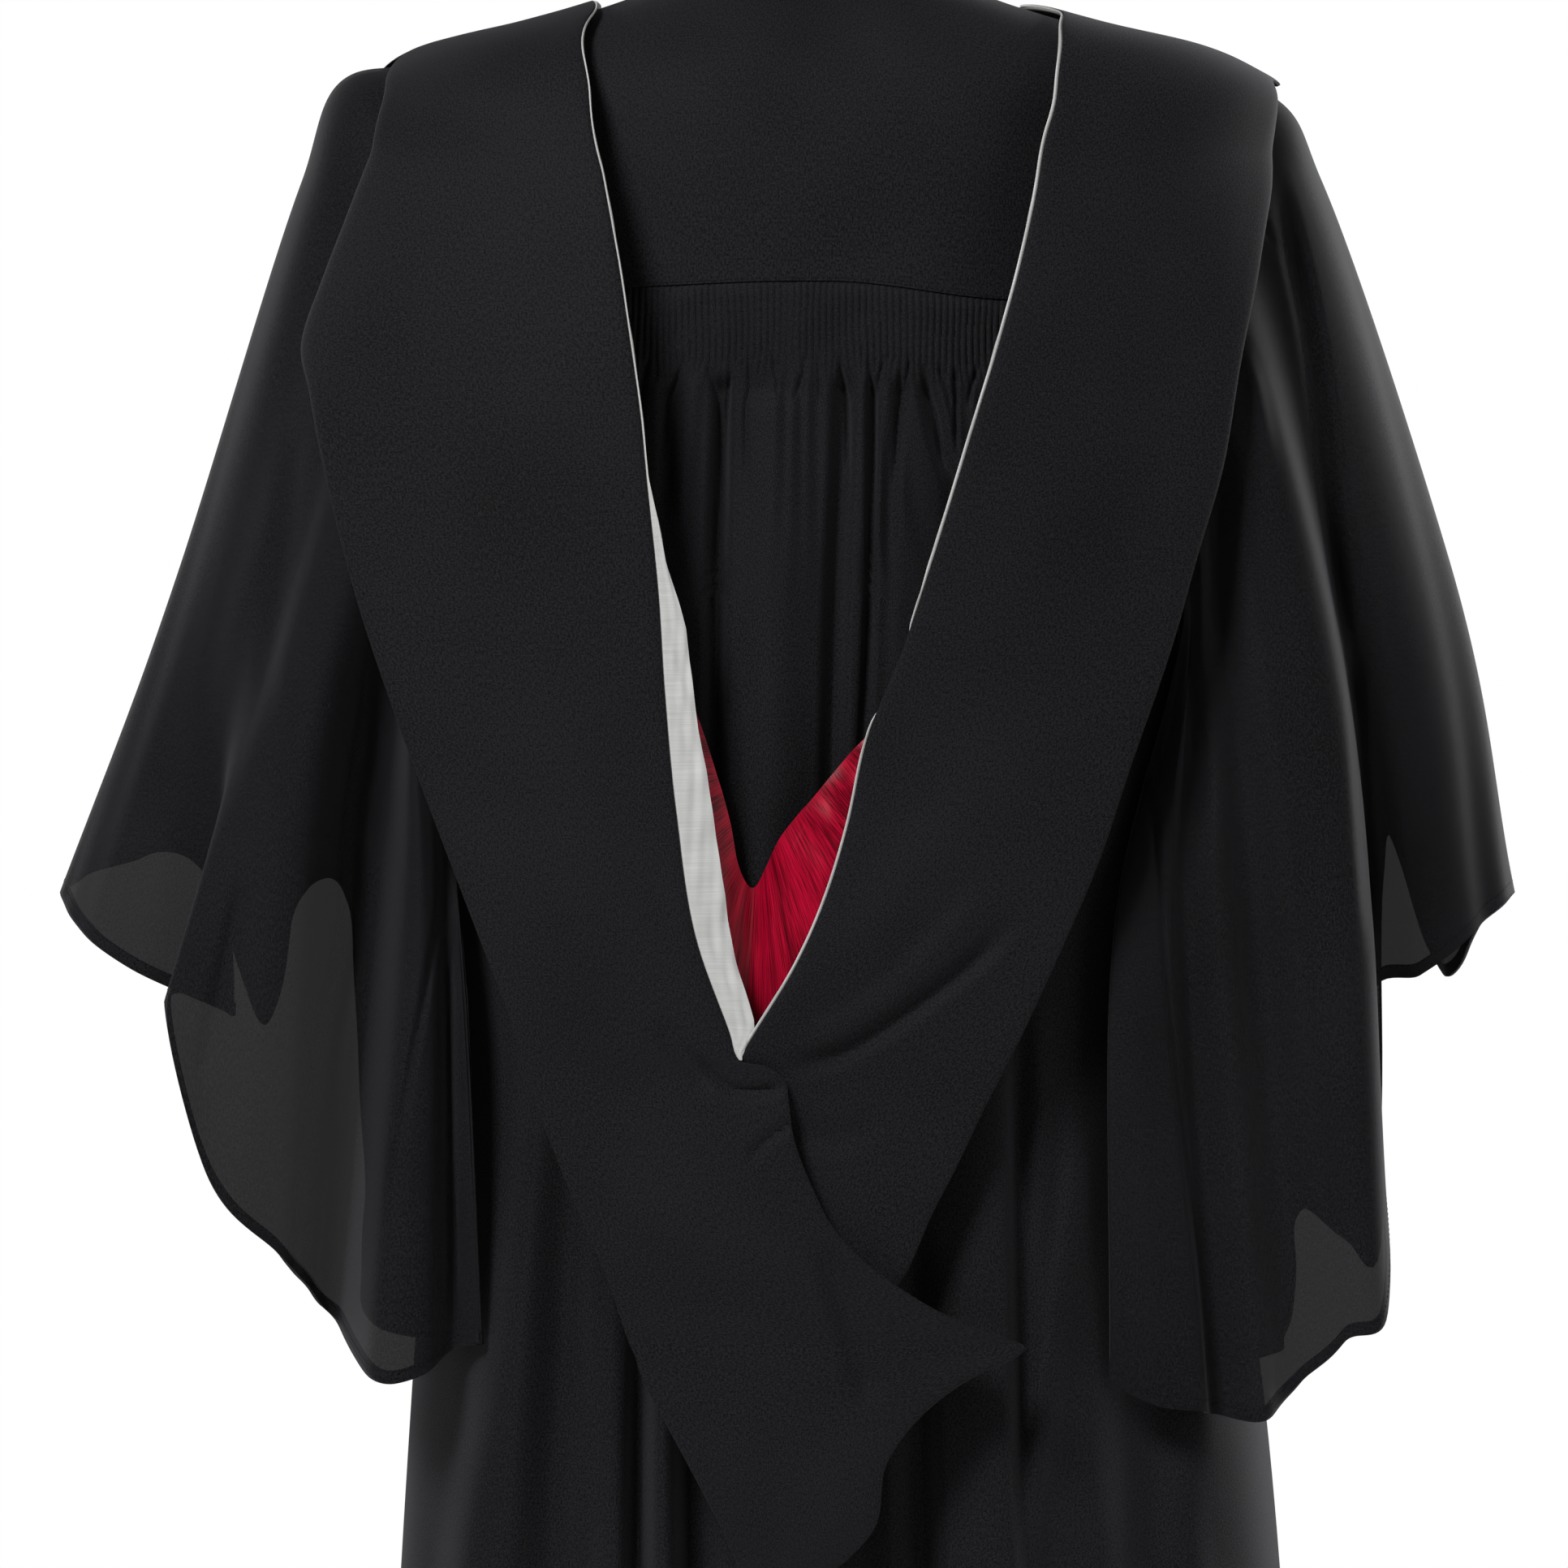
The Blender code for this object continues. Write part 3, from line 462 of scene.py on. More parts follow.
def bell(offset, left, right):
    """Soft hump, 1 on its line and 0 beyond its two half widths."""
    width = np.where(offset < 0, left, right)
    share = np.clip(np.abs(offset) / width, 0, 1)
    return 0.5 + 0.5 * np.cos(math.pi * share)


def crease_relief(x, z, creases):
    """How far creases press a cloth in at places x, z, in metres."""
    relief = np.zeros(np.shape(x))
    for path, depth, half_width in creases:
        path = np.array(path, float) * MM
        line = smooth_curve(np.linspace(0, len(path) - 1, 28), np.arange(len(path)), path)
        reach = half_width * MM
        near = (x > line[:, 0].min() - reach) & (x < line[:, 0].max() + reach)
        near &= (z > line[:, 1].min() - reach) & (z < line[:, 1].max() + reach)
        if not near.any():
            continue
        place = np.stack([x[near], z[near]], axis=-1)
        start, step = line[:-1], np.diff(line, axis=0)
        to_place = place[:, None, :] - start[None]
        share = np.clip((to_place * step).sum(-1) / (step * step).sum(-1), 0, 1)
        gap = np.linalg.norm(to_place - share[..., None] * step, axis=-1)
        nearest = gap.argmin(axis=1)
        order = np.arange(len(nearest))
        along = (nearest + share[order, nearest]) / len(step)
        fade = soft_step(np.minimum(along, 1 - along) / 0.22)
        pressed = bell(gap[order, nearest], reach, reach)
        relief[near] -= depth * MM * pressed * fade
    return relief


def ring_quarter(half, depth):
    """Points along a quarter of a rounded ring, from the centre line to the side."""
    turn = np.linspace(0, math.pi / 2, 1025)
    across = half * np.sin(turn) ** (2 / ROUNDNESS)
    out = depth * np.cos(turn) ** (2 / ROUNDNESS)
    steps = np.hypot(np.diff(across), np.diff(out))
    length = np.concatenate([[0], np.cumsum(steps)])
    return length / length[-1], across, out


class Form:
    """A stack of rings, read by the turn round them and the height.

    A turn of 0 is the centre back, 1 and -1 are the side lines, 2 and -2 the centre front.
    """

    def __init__(self, rings, steps=1600):
        self.turns = np.linspace(-2, 2, steps + 1)
        side = np.abs(self.turns)
        sign = np.where(self.turns >= 0, 1, -1)
        on_back = side <= 1
        columns = []
        for z_side, z_back, z_front, half, y_back, y_front, shift in rings:
            x = np.zeros(len(side))
            y = np.zeros(len(side))
            for here, depth in ((on_back, y_back), (~on_back, y_front)):
                length, across, out = ring_quarter(half * MM, depth * MM)
                share = np.where(on_back, side, 2 - side)[here]
                x[here] = np.interp(share, length, across)
                y[here] = np.interp(share, length, out)
            to_side = soft_step(side)
            to_front = soft_step(side - 1)
            z = z_back + (z_side - z_back) * to_side + (z_front - z_side) * to_front
            columns.append(np.stack([sign * x + shift * MM, y, z * MM], axis=-1))
        self.columns = np.stack(columns[::-1], axis=1)
        self.heights = self.columns[:, :, 2]
        self.slopes = np.stack(
            [np.gradient(self.columns[i], self.heights[i], axis=0) for i in range(len(side))]
        )

    def top(self, turns):
        return np.interp(turns, self.turns, self.heights[:, -1])

    def on_column(self, column, height):
        knots = self.heights[column]
        height = np.clip(height, knots[:, 0], knots[:, -1])
        place = np.clip((knots <= height[:, None]).sum(axis=1) - 1, 0, knots.shape[1] - 2)
        rows = np.arange(len(place))
        low, high = knots[rows, place], knots[rows, place + 1]
        span = (high - low)[:, None]
        share = ((height - low) / (high - low))[:, None]
        rise = share * share * (3 - 2 * share)
        start, end = self.columns[column, place], self.columns[column, place + 1]
        points = start + (end - start) * rise
        points += self.slopes[column, place] * share * (1 - share) ** 2 * span
        points += self.slopes[column, place + 1] * share * share * (share - 1) * span
        return points

    def points(self, turns, heights):
        turns, heights = np.broadcast_arrays(np.asarray(turns, float), np.asarray(heights, float))
        flat = np.clip(turns.ravel(), -2, 2)
        place = (flat + 2) / 4 * (len(self.turns) - 1)
        left = np.clip(place.astype(int), 0, len(self.turns) - 2)
        share = (place - left)[:, None]
        points = self.on_column(left, heights.ravel()) * (1 - share)
        points += self.on_column(left + 1, heights.ravel()) * share
        return points.reshape(turns.shape + (3,))

    def turn_at(self, x, height):
        """The turn on the back at which the form has this x at this height."""
        low = np.full(np.shape(x), -1.0)
        high = np.full(np.shape(x), 1.0)
        for _ in range(30):
            middle = (low + high) / 2
            short = self.points(middle, height)[..., 0] < x
            low = np.where(short, middle, low)
            high = np.where(short, high, middle)
        return (low + high) / 2


BODY = Form(BODY_RINGS)
CAPE = Form(CAPE_RINGS)


def armhole_turn(height, front):
    """Side edge of a body panel: the armhole's lower arc, then the side seam."""
    down = (np.asarray(height) - ARMHOLE_Z) / ARMHOLE_HALF_HEIGHT
    reach = ARMHOLE_HALF_SPAN * np.sqrt(np.maximum(0.0, 1 - down * down))
    reach = np.where(down < -1, 0.0, reach)
    return 1 + reach if front else 1 - reach


def seam_drop(x):
    """How far the seam over the flutes falls away from its highest place, in metres."""
    right = 9.0 * soft_step((x / MM - 8) / 96) * (1 - soft_step((x / MM - 112) / 50))
    left = 2.6 * soft_step((-x / MM - 10) / 90) * (1 - soft_step((-x / MM - 112) / 50))
    return (right + left) * MM


def back_relief(x, z):
    """How far the back's folds stand out, in metres."""
    relief = np.zeros(np.broadcast(x, z).shape)
    for heights, places, depths, left, right in BACK_FOLDS:
        knots = np.array(heights[::-1]) * MM
        top, bottom = heights[0] * MM, heights[-1] * MM
        reach = 60 * MM if top < -400 * MM else 14 * MM
        fade_in = soft_step((top + reach - z) / reach)
        fade_out = soft_step((z - bottom) / (90 * MM) + 1)
        line = smooth_curve(z, knots, places[::-1]) * MM
        depth = smooth_curve(z, knots, depths[::-1]) * MM
        widen = 1 + 0.6 * np.clip((bottom - z) / (300 * MM), 0, 1)
        hump = bell(x - line, left * MM * widen, right * MM * widen)
        relief += depth * hump * fade_in * fade_out
    return relief


def faces_out(grid, closed=False):
    """Whether the grid, as it is wound, looks away from its own axis."""
    down = grid[1:, :-1] - grid[:-1, :-1]
    across = grid[:-1, 1:] - grid[:-1, :-1]
    axis = grid.mean(axis=1, keepdims=True)[:-1] if closed else grid[:-1, :-1] * (0, 0, 1)
    return float((np.cross(across, down) * (grid[:-1, :-1] - axis)).sum()) > 0


def out_normals(grid, closed=False):
    """Unit normals at the grid's points, looking away from its own axis."""
    normals = np.cross(np.gradient(grid, axis=1), np.gradient(grid, axis=0))
    if closed:
        normals[:, 0] += normals[:, -1]
        normals[:, -1] = normals[:, 0]
    normals /= np.maximum(np.linalg.norm(normals, axis=2, keepdims=True), 1e-12)
    return normals if faces_out(grid, closed) else -normals


def lay_sheet(name, grid, material, wall, closed=False):
    """A cloth shell through the points of a grid, with its wall inside the outer face."""
    if not faces_out(grid, closed):
        grid = grid[:, ::-1]
    rows, columns = grid.shape[:2]
    bpy.ops.object.select_all(action="DESELECT")
    bpy.ops.mesh.primitive_grid_add(
        x_subdivisions=columns - 1, y_subdivisions=rows - 1, calc_uvs=True
    )
    piece = bpy.context.object
    piece.name = name
    mesh = piece.data
    mesh.name = name
    mesh.vertices.foreach_set("co", grid.reshape(-1).astype(np.float32))
    across = np.linalg.norm(np.diff(grid, axis=1), axis=2).mean(axis=0)
    down = np.linalg.norm(np.diff(grid, axis=0), axis=2).mean(axis=1)
    u = np.concatenate([[0], np.cumsum(across)])
    v = np.concatenate([[0], np.cumsum(down)])
    corners = np.empty(len(mesh.loops), np.int32)
    mesh.loops.foreach_get("vertex_index", corners)
    places = np.stack([u[corners % columns], -v[corners // columns]], axis=1)
    mesh.uv_layers.active.data.foreach_set("uv", places.reshape(-1).astype(np.float32))
    mesh.update()
    if closed:
        bpy.ops.object.mode_set(mode="EDIT")
        bpy.ops.mesh.select_all(action="SELECT")
        bpy.ops.mesh.remove_doubles(threshold=0.00001)
        bpy.ops.object.mode_set(mode="OBJECT")
    bpy.ops.object.modifier_add(type="SOLIDIFY")
    shell = piece.modifiers[-1]
    shell.thickness = wall
    shell.offset = -1
    shell.use_quality_normals = True
    bpy.ops.object.modifier_apply(modifier=shell.name)
    bpy.ops.object.shade_smooth_by_angle(angle=math.radians(50))
    piece.data.materials.append(material)
    return piece


def declare(piece, replaced):
    """Rides the piece on the gown and hides the part that it replaces."""
    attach(piece, "root")
    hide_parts(replaced)


# Points of each piece


def yoke_points():
    corner = float(armhole_turn(YOKE_SEAM_Z, front=False))
    front_corner = float(armhole_turn(FRONT_SEAM_Z, front=True))
    back = np.linspace(0, corner, 41)
    over = 1 - (1 - corner) * np.cos(np.linspace(0, math.pi, 61)[1:31])
    under = 1 - (front_corner - 1) * np.cos(np.linspace(0, math.pi, 61)[31:])
    chest = np.linspace(front_corner, FRONT_OPENING, 19)[1:]
    half = np.concatenate([back, over, under, chest])
    turns = np.concatenate([-half[:0:-1], half])
    side = np.abs(turns)
    reach = np.clip((side - 1) / ARMHOLE_HALF_SPAN, -1, 1)
    low = ARMHOLE_Z + ARMHOLE_HALF_HEIGHT * np.sqrt(1 - reach * reach)
    at_seam = BODY.points(turns, YOKE_SEAM_Z)[:, 0]
    low = np.where(side <= corner + 1e-6, YOKE_SEAM_Z - seam_drop(at_seam), low)
    low = np.where(side >= front_corner - 1e-6, FRONT_SEAM_Z + SEAM_GAP / 2, low)
    share = np.linspace(0, 1, 46)[:, None]
    top = BODY.top(turns)
    grid = BODY.points(np.broadcast_to(turns, (46, len(turns))), top + (low - top) * share)
    x, z = grid[..., 0], grid[..., 2]
    settle = soft_step((z - low) / (14 * MM)) * soft_step((top - z) / (14 * MM))
    dents = 0.5 * np.sin(x * 95 + z * 30) * np.sin(z * 70 + 1) + 0.4 * np.sin(x * 47 - z * 60)
    grid[..., 1] += np.where(side <= 1, dents, -dents) * MM * settle * (np.abs(side - 1) > 0.12)
    return grid


def flute_shares(sizes):
    """Columns across the back: fine over the flutes that show, coarser beside them."""
    edge = float(armhole_turn(YOKE_SEAM_Z, front=False))
    half_span = sizes.flute_count * sizes.flute_pitch / 2
    reach = float(BODY.turn_at(half_span, YOKE_SEAM_Z)) / edge
    columns = list(np.linspace(-1, -reach, 25)[:-1])
    for flute in range(sizes.flute_count):
        start = -reach + 2 * reach * flute / sizes.flute_count
        shown = abs((flute + 0.5) * sizes.flute_pitch - half_span) < FLUTES_SHOWN
        steps = 5 if shown else 2
        columns += list(start + 2 * reach / sizes.flute_count * np.arange(steps) / steps)
    columns += list(np.linspace(reach, 1, 25))
    shares = np.array(columns)
    return shares, shares / reach * half_span


def flute_relief(across, z, sizes):
    """Fine flutes with narrow grooves between them, let go at their lower end."""
    half_span = sizes.flute_count * sizes.flute_pitch / 2
    down = np.clip((YOKE_SEAM_Z - z) / (YOKE_SEAM_Z - FLUTES_END_Z), 0, 2)
    loose = soft_step((FLUTES_END_Z + 9 * MM - z) / (22 * MM))
    wander = 0.25 * np.sin(across * 61 + down * 2) * np.sin(down * 3 + across * 17)
    wander = wander + loose * (0.55 * np.sin(across * 210) + 0.4 * np.sin(across * 460 + 2))
    phase = (across + half_span) / sizes.flute_pitch + wander
    height = np.abs(np.sin(math.pi * phase)) ** 0.5
    uneven = 0.88 + 0.12 * np.sin(np.floor(phase) * 2.4)
    pressed = 1 - 0.75 * bell(across - FLATTENED_AT, 1.6 * FLATTENED_HALF, 1.6 * FLATTENED_HALF)
    inside = soft_step((half_span - np.abs(across)) / sizes.flute_pitch)
    at_seam = 0.35 + 0.65 * soft_step(down / 0.1)
    return sizes.flute_depth * (height - 0.35) * uneven * pressed * inside * at_seam * (1 - loose)


def gather_relief(share, z, depth):
    """Gathers let out of the flutes, fading down the cloth."""
    down = (FLUTES_END_Z - z) / (90 * MM)
    rise = soft_step((FLUTES_END_Z - z) / (12 * MM))
    fade = np.exp(-np.maximum(down, 0) ** 2)
    wander = 0.5 * np.sin(share * 11) + 0.3 * np.sin(share * 23 + 1)
    wave = np.cos(2 * math.pi * (share * GATHER_COUNT / 2 + wander))
    return depth * rise * fade * wave


def back_points(sizes):
    """The back from the yoke's seam to the hem: flutes, gathers and long folds in one cloth."""
    shares, across = flute_shares(sizes)
    heights = np.concatenate(
        [
            YOKE_SEAM_Z + np.array([2.6, 0.8, -0.2, -1.4, -4, -9, -15, -22, -29]) * MM,
            np.linspace(-156, -184, 15)[:-1] * MM,
            np.linspace(-184, -262, 16)[:-1] * MM,
            np.linspace(-262, -560, 41)[:-1] * MM,
            np.linspace(-560, -1100, 36) * MM,
        ]
    )
    z = heights[:, None]
    edge = armhole_turn(z, front=False)
    plain = BODY.points(shares * edge, z)
    drop = seam_drop(plain[..., 0]) * (1 - soft_step((-150 * MM - z) / (100 * MM)))
    grid = BODY.points(shares * edge, z - drop)
    x = grid[..., 0]
    centre = 1 - soft_step((np.abs(x) - 96 * MM) / (30 * MM))
    gathers = gather_relief(shares, z, sizes.gather_depth) * (1 - 0.8 * centre)
    relief = back_relief(x, z) * soft_step((FLUTES_END_Z - z) / (12 * MM))
    relief += gathers + crease_relief(x, grid[..., 2], GATHER_CREASES)
    relief += 0.5 * MM * np.sin(x * 160 + z * 21) * np.sin(z * 33 + x * 9) * (z < FLUTES_END_Z)
    relief *= soft_step((1 - np.abs(shares)) / 0.05)
    flutes = flute_relief(across, z, sizes)
    tuck = 2.4 * MM * soft_step((z - YOKE_SEAM_Z + 0.6 * MM) / (2 * MM))
    tuck = np.maximum(tuck, 1.3 * MM * bell(z - YOKE_SEAM_Z, 5 * MM, 5 * MM))
    grid = grid + out_normals(grid) * (flutes - tuck)[..., None]
    grid[..., 1] -= relief
    below = heights < SIDE_SEAM_TOP
    grid[below, 0] += np.array([2.1, 3.0, 0]) * MM
    grid[below, -1] += np.array([-2.1, 3.0, 0]) * MM
    return grid


def front_points(side):
    shares = np.linspace(0, 1, 91)
    heights = np.concatenate(
        [
            np.linspace(FRONT_SEAM_Z - SEAM_GAP / 2, -280 * MM, 22)[:-1],
            np.linspace(-280, -1100, 84) * MM,
        ]
    )
    z = heights[:, None]
    edge = armhole_turn(z, front=True)
    grid = BODY.points(side * (edge + (FRONT_OPENING - edge) * shares), z)
    down = (FRONT_SEAM_Z - z) / (FRONT_SEAM_Z - HEM_Z)
    ease = np.minimum(1.0, down * 8)
    for place, top, hem, half in FRONT_FOLDS:
        grid[..., 1] += ease * (top + (hem - top) * down) * MM * bell(shares - place, half, half)
    drape = 1.2 * np.sin(shares * 34 + z * 6) * np.sin(z * 9 + 1.3 * side)
    grid[..., 1] += drape * MM * ease * soft_step(shares / 0.1)
    below = heights < SIDE_SEAM_TOP
    grid[below, 0, 1] += SEAM_GAP
    return grid


def armhole_place(side, phi, share=1.0):
    """Turn and height at an angle round the armhole, a share of the way from its middle."""
    turn = side * (1 - share * ARMHOLE_HALF_SPAN * np.sin(phi))
    return turn, ARMHOLE_Z + share * ARMHOLE_HALF_HEIGHT * np.cos(phi)


def armhole_ring(side, angles):
    """Points of the armhole at angles round it, and the ways into its opening."""
    phi = np.linspace(0, 2 * math.pi, 721)
    ring = BODY.points(*armhole_place(side, phi))
    seen = np.arctan2(-ring[:, 1] / 0.095, (ring[:, 2] - ARMHOLE_Z) / ARMHOLE_HALF_HEIGHT)
    seen = np.unwrap(seen)
    seen -= 2 * math.pi * round(seen[0] / (2 * math.pi))
    phi = np.interp(np.radians(angles), seen, phi)
    turn, height = armhole_place(side, phi)
    foot = ARMHOLE_FOOT_DROP * bell(np.degrees(phi) - 180, 38, 38)
    edge = BODY.points(turn, height - foot)
    edge[:, 0] += side * foot / ARMHOLE_FOOT_DROP * 0.9 * MM
    onward = BODY.points(*armhole_place(side, phi, 0.94)) - BODY.points(turn, height)
    onward /= np.linalg.norm(onward, axis=1, keepdims=True)
    return edge, onward


def sleeve_points(side, lines, head_rise):
    """A tube of cloth from the armhole to the hem."""
    angles = np.array([line[0] for line in lines], float)
    middle = np.array([line[1:4] for line in lines]) * MM
    hem = np.array([line[4:7] for line in lines]) * MM
    wrap = np.concatenate([angles[-2:] - 360, angles, angles[:2] + 360])
    middle = np.concatenate([middle[-2:], middle, middle[:2]])
    hem = np.concatenate([hem[-2:], hem, hem[:2]])
    columns = np.concatenate([np.linspace(0, 175, 171)[:-1], np.linspace(175, 360, 101)])
    edge, onward = armhole_ring(side, columns)
    start = edge + onward * ARMHOLE_GAP
    half_way = smooth_curve(columns, wrap, middle)
    end = smooth_curve(columns, wrap, hem)
    turn = np.radians(columns)
    top = np.maximum(0.0, np.cos(turn))
    close = 1 - 0.8 * bell(columns - 162, 34, 24)
    swell = np.stack([side * (20 + 5 * np.cos(turn)) * close, -13 * np.sin(turn), 18 * top], axis=1)
    upper = start + 0.3 * (half_way - start) + swell * MM
    round_off = np.stack([side * (9 + 15 * top), -7 * np.sin(turn), head_rise * top], axis=1)
    head = start + 0.1 * (half_way - start) + round_off * MM
    grid = smooth_curve(SLEEVE_ROWS, SLEEVE_KNOTS, np.stack([start, head, upper, half_way, end]))
    rows = SLEEVE_ROWS[:, None]
    turn = turn[None, :]
    flutter = 0.9 * np.sin(17 * turn + 2.0 * np.sin(2.6 * rows + side)) * rows**1.5
    flutter += 0.5 * np.sin(29 * turn - 3.0 * rows) * rows**3
    flutter += 0.5 * np.sin(11 * turn + 5 * rows) * soft_step(rows / 0.2) * (1 - rows)
    grid[:, -1] = grid[:, 0]
    grid = grid + out_normals(grid, closed=True) * (flutter * MM)[..., None]
    creases = LEFT_SLEEVE_CREASES if side < 0 else RIGHT_SLEEVE_CREASES
    near = soft_step((-grid[..., 1] - 20 * MM) / (25 * MM))
    grid[..., 1] -= crease_relief(grid[..., 0], grid[..., 2], creases) * near
    grid[:, -1] = grid[:, 0]
    return grid


def hood_crossings(side, crest_outer_z, back_rows, lift, tail=()):
    """Every crossing of a band: inner turn and z, outer turn and z, stand off, lift."""
    rows = []
    crest = (1.0, CREST_INNER_Z, 1.0, crest_outer_z)
    for inner_turn, inner_z, outer_turn, outer_z in HOOD_FRONT[::-1] + (crest,):
        rows.append((side * inner_turn, inner_z * MM, side * outer_turn, outer_z * MM, 0, 0))
    for number, (inner_x, inner_z, outer_x, outer_z, stand_off) in enumerate(back_rows):
        inner = float(CAPE.turn_at(inner_x * MM, inner_z * MM))
        outer = float(CAPE.turn_at(outer_x * MM, outer_z * MM))
        ease = lift * min(1.0, number / 4)
        rows.append((inner, inner_z * MM, outer, outer_z * MM, stand_off * MM, ease * MM))
    for z, left, right, relief in tail:
        inner = float(CAPE.turn_at(right * MM, z * MM))
        outer = float(CAPE.turn_at(left * MM, z * MM))
        rows.append((inner, z * MM, outer, z * MM, relief * MM, lift * MM))
    return np.array(rows)


def band_points(crossings, creases, step):
    """Points of a hood band through its crossings, with a soft crown and pressed creases."""
    inner = CAPE.points(crossings[:, 0], crossings[:, 1])
    outer = CAPE.points(crossings[:, 2], crossings[:, 3])
    steps = np.linalg.norm(np.diff(inner, axis=0), axis=1)
    steps = 0.5 * (steps + np.linalg.norm(np.diff(outer, axis=0), axis=1))
    along = np.concatenate([[0], np.cumsum(steps)])
    places = [0.0]
    for start, end in zip(along[:-1], along[1:]):
        count = max(2, math.ceil((end - start) / step))
        places += list(np.linspace(start, end, count + 1)[1:])
    fine = smooth_curve(places, along, crossings)
    spread = np.linspace(-1, 1, HOOD_COLUMNS + 1)
    share = 0.5 + 0.5 * np.sin(spread * math.pi / 2) * 0.55 + 0.225 * spread
    turns = fine[:, :1] + (fine[:, 2:3] - fine[:, :1]) * share
    heights = fine[:, 1:2] + (fine[:, 3:4] - fine[:, 1:2]) * share
    grid = CAPE.points(turns, heights)
    width = np.linalg.norm(grid[:, 0] - grid[:, -1], axis=1)[:, None]
    raised = fine[:, 5:6] + fine[:, 4:5] * (1 - share) ** 2
    edge_gap = np.minimum(share, 1 - share) * width
    crown = 1.6 * np.sqrt(np.clip(1 - (1 - np.clip(edge_gap / (9 * MM), 0, 1)) ** 2, 0, 1))
    crown += 2.2 * np.sin(math.pi * share) ** 2 * np.clip(width / (110 * MM), 0, 1)
    ends = soft_step(np.array(places) / 0.05)[:, None]
    x, z = grid[..., 0], grid[..., 2]
    on_back = grid[..., 1] < 0
    waves = 0.7 * np.sin(z * 41 + x * 25) * np.sin(x * 33 + 0.7)
    relief = (crown + waves * np.clip(edge_gap / (20 * MM), 0, 1)) * MM * ends
    relief = relief + np.where(on_back, crease_relief(x, z, creases), 0.0)
    back_share = soft_step((-grid[..., 1] + 20 * MM) / (60 * MM))
    front_share = soft_step((grid[..., 1] - 20 * MM) / (60 * MM))
    out_y = (raised + relief) * (front_share - back_share)
    grid[..., 1] += out_y
    grid[..., 2] += relief * (1 - front_share - back_share).clip(0, 1)
    return grid


def lining_points():
    table = np.array(LINING_ROWS, float)
    along = np.arange(len(table))
    fine = smooth_curve(np.linspace(0, len(table) - 1, 91), along, table)
    share = np.linspace(0, 1, 31)[None, :]
    x = (fine[:, 0:1] + (fine[:, 2:3] - fine[:, 0:1]) * share) * MM
    z = (fine[:, 1:2] + (fine[:, 3:4] - fine[:, 1:2]) * share) * MM
    depth = fine[:, 4:5] + (fine[:, 5:6] - fine[:, 4:5]) * share
    depth = depth + 1.5 * np.sin(math.pi * share)
    place = np.linspace(0, 1, 91)[:, None]
    tension = 0.7 * np.sin(place * 33 + share * 6) + 0.5 * np.sin(place * 71 - share * 3)
    tension = tension * np.sin(math.pi * share) * (0.5 + place)
    grid = CAPE.points(CAPE.turn_at(x, z), z)
    grid[..., 1] -= (depth + tension) * MM
    return grid


def ribbon_points(band, widths):
    """Ribbon that comes out from under a band's inner edge, along the whole of that edge."""
    heights = band[:, 0, 2]
    crest = int(np.argmax(heights))
    rows = np.arange(crest - RIBBON_ROWS_OVER, len(band) - 1)
    stop = np.flatnonzero(heights[rows] < RIBBON_BOTTOM * MM)
    rows = rows[: stop[0]] if len(stop) else rows
    edge = band[rows, 0]
    across = edge - band[rows, 8]
    across /= np.linalg.norm(across, axis=1, keepdims=True)
    along = band[rows + 1, 0] - band[rows - 1, 0]
    out = np.cross(along, across)
    out /= np.linalg.norm(out, axis=1, keepdims=True)
    out *= -np.sign(out[len(out) // 2, 1])
    table = np.array(widths, float)[::-1] * MM
    reach = np.interp(edge[:, 2], table[:, 0], table[:, 1])[:, None]
    share = np.linspace(0, 1, 23)[None, :]
    steps = -RIBBON_HOLD * MM + (reach + RIBBON_HOLD * MM) * share
    down = edge[:, 2:3]
    ripple = 0.7 * np.sin(down * 130 + share * 2) + 0.4 * np.sin(down * 290 + 1 - share * 4)
    pinch = 0.45 * np.sin(share * 13 + 4 * np.sin(down * 38))
    ripple += pinch + 0.3 * np.sin(share * 21 - down * 190)
    ripple = ripple * MM * np.clip(steps / (12 * MM), 0, 1)
    stand = -1.7 * MM + 1.5 * MM * soft_step((steps + 1.2 * MM) / (2.4 * MM)) + ripple
    return edge[:, None] + across[:, None] * steps[..., None] + out[:, None] * stand[..., None]


# Finishes


def new_group(name, inputs, outputs):
    group = bpy.data.node_groups.new(name, "ShaderNodeTree")
    kind = "NodeSocketFloat"
    for title, value in inputs:
        socket = group.interface.new_socket(title, in_out="INPUT", socket_type=kind)
        socket.default_value = value
    for title in outputs:
        group.interface.new_socket(title, in_out="OUTPUT", socket_type=kind)
    return group, group.nodes.new("NodeGroupInput"), group.nodes.new("NodeGroupOutput")


def feed(group, socket, value):
    """Gives a socket a number, or the output of another node."""
    if hasattr(value, "is_output"):
        group.links.new(value, socket)
    else:
        socket.default_value = value


def math_node(group, operation, first, second):
    node = group.nodes.new("ShaderNodeMath")
    node.operation = operation
    feed(group, node.inputs[0], first)
    feed(group, node.inputs[1], second)
    return node.outputs[0]


def noise_node(group, place, scale, detail=2.0):
    """Noise over the flat cloth; the scale is waves per metre."""
    node = group.nodes.new("ShaderNodeTexNoise")
    node.noise_dimensions = "2D"
    node.inputs["Detail"].default_value = detail
    feed(group, node.inputs["Vector"], place)
    feed(group, node.inputs["Scale"], scale)
    return node.outputs[0]


def cloth_place(group, stretch=None):
    """The place on the cloth, in metres along its threads, drawn out where asked."""
    place = group.nodes.new("ShaderNodeTexCoord").outputs["UV"]
    if stretch is None:
        return place
    mapping = group.nodes.new("ShaderNodeMapping")
    mapping.inputs["Scale"].default_value = stretch
    group.links.new(place, mapping.inputs["Vector"])
    return mapping.outputs[0]


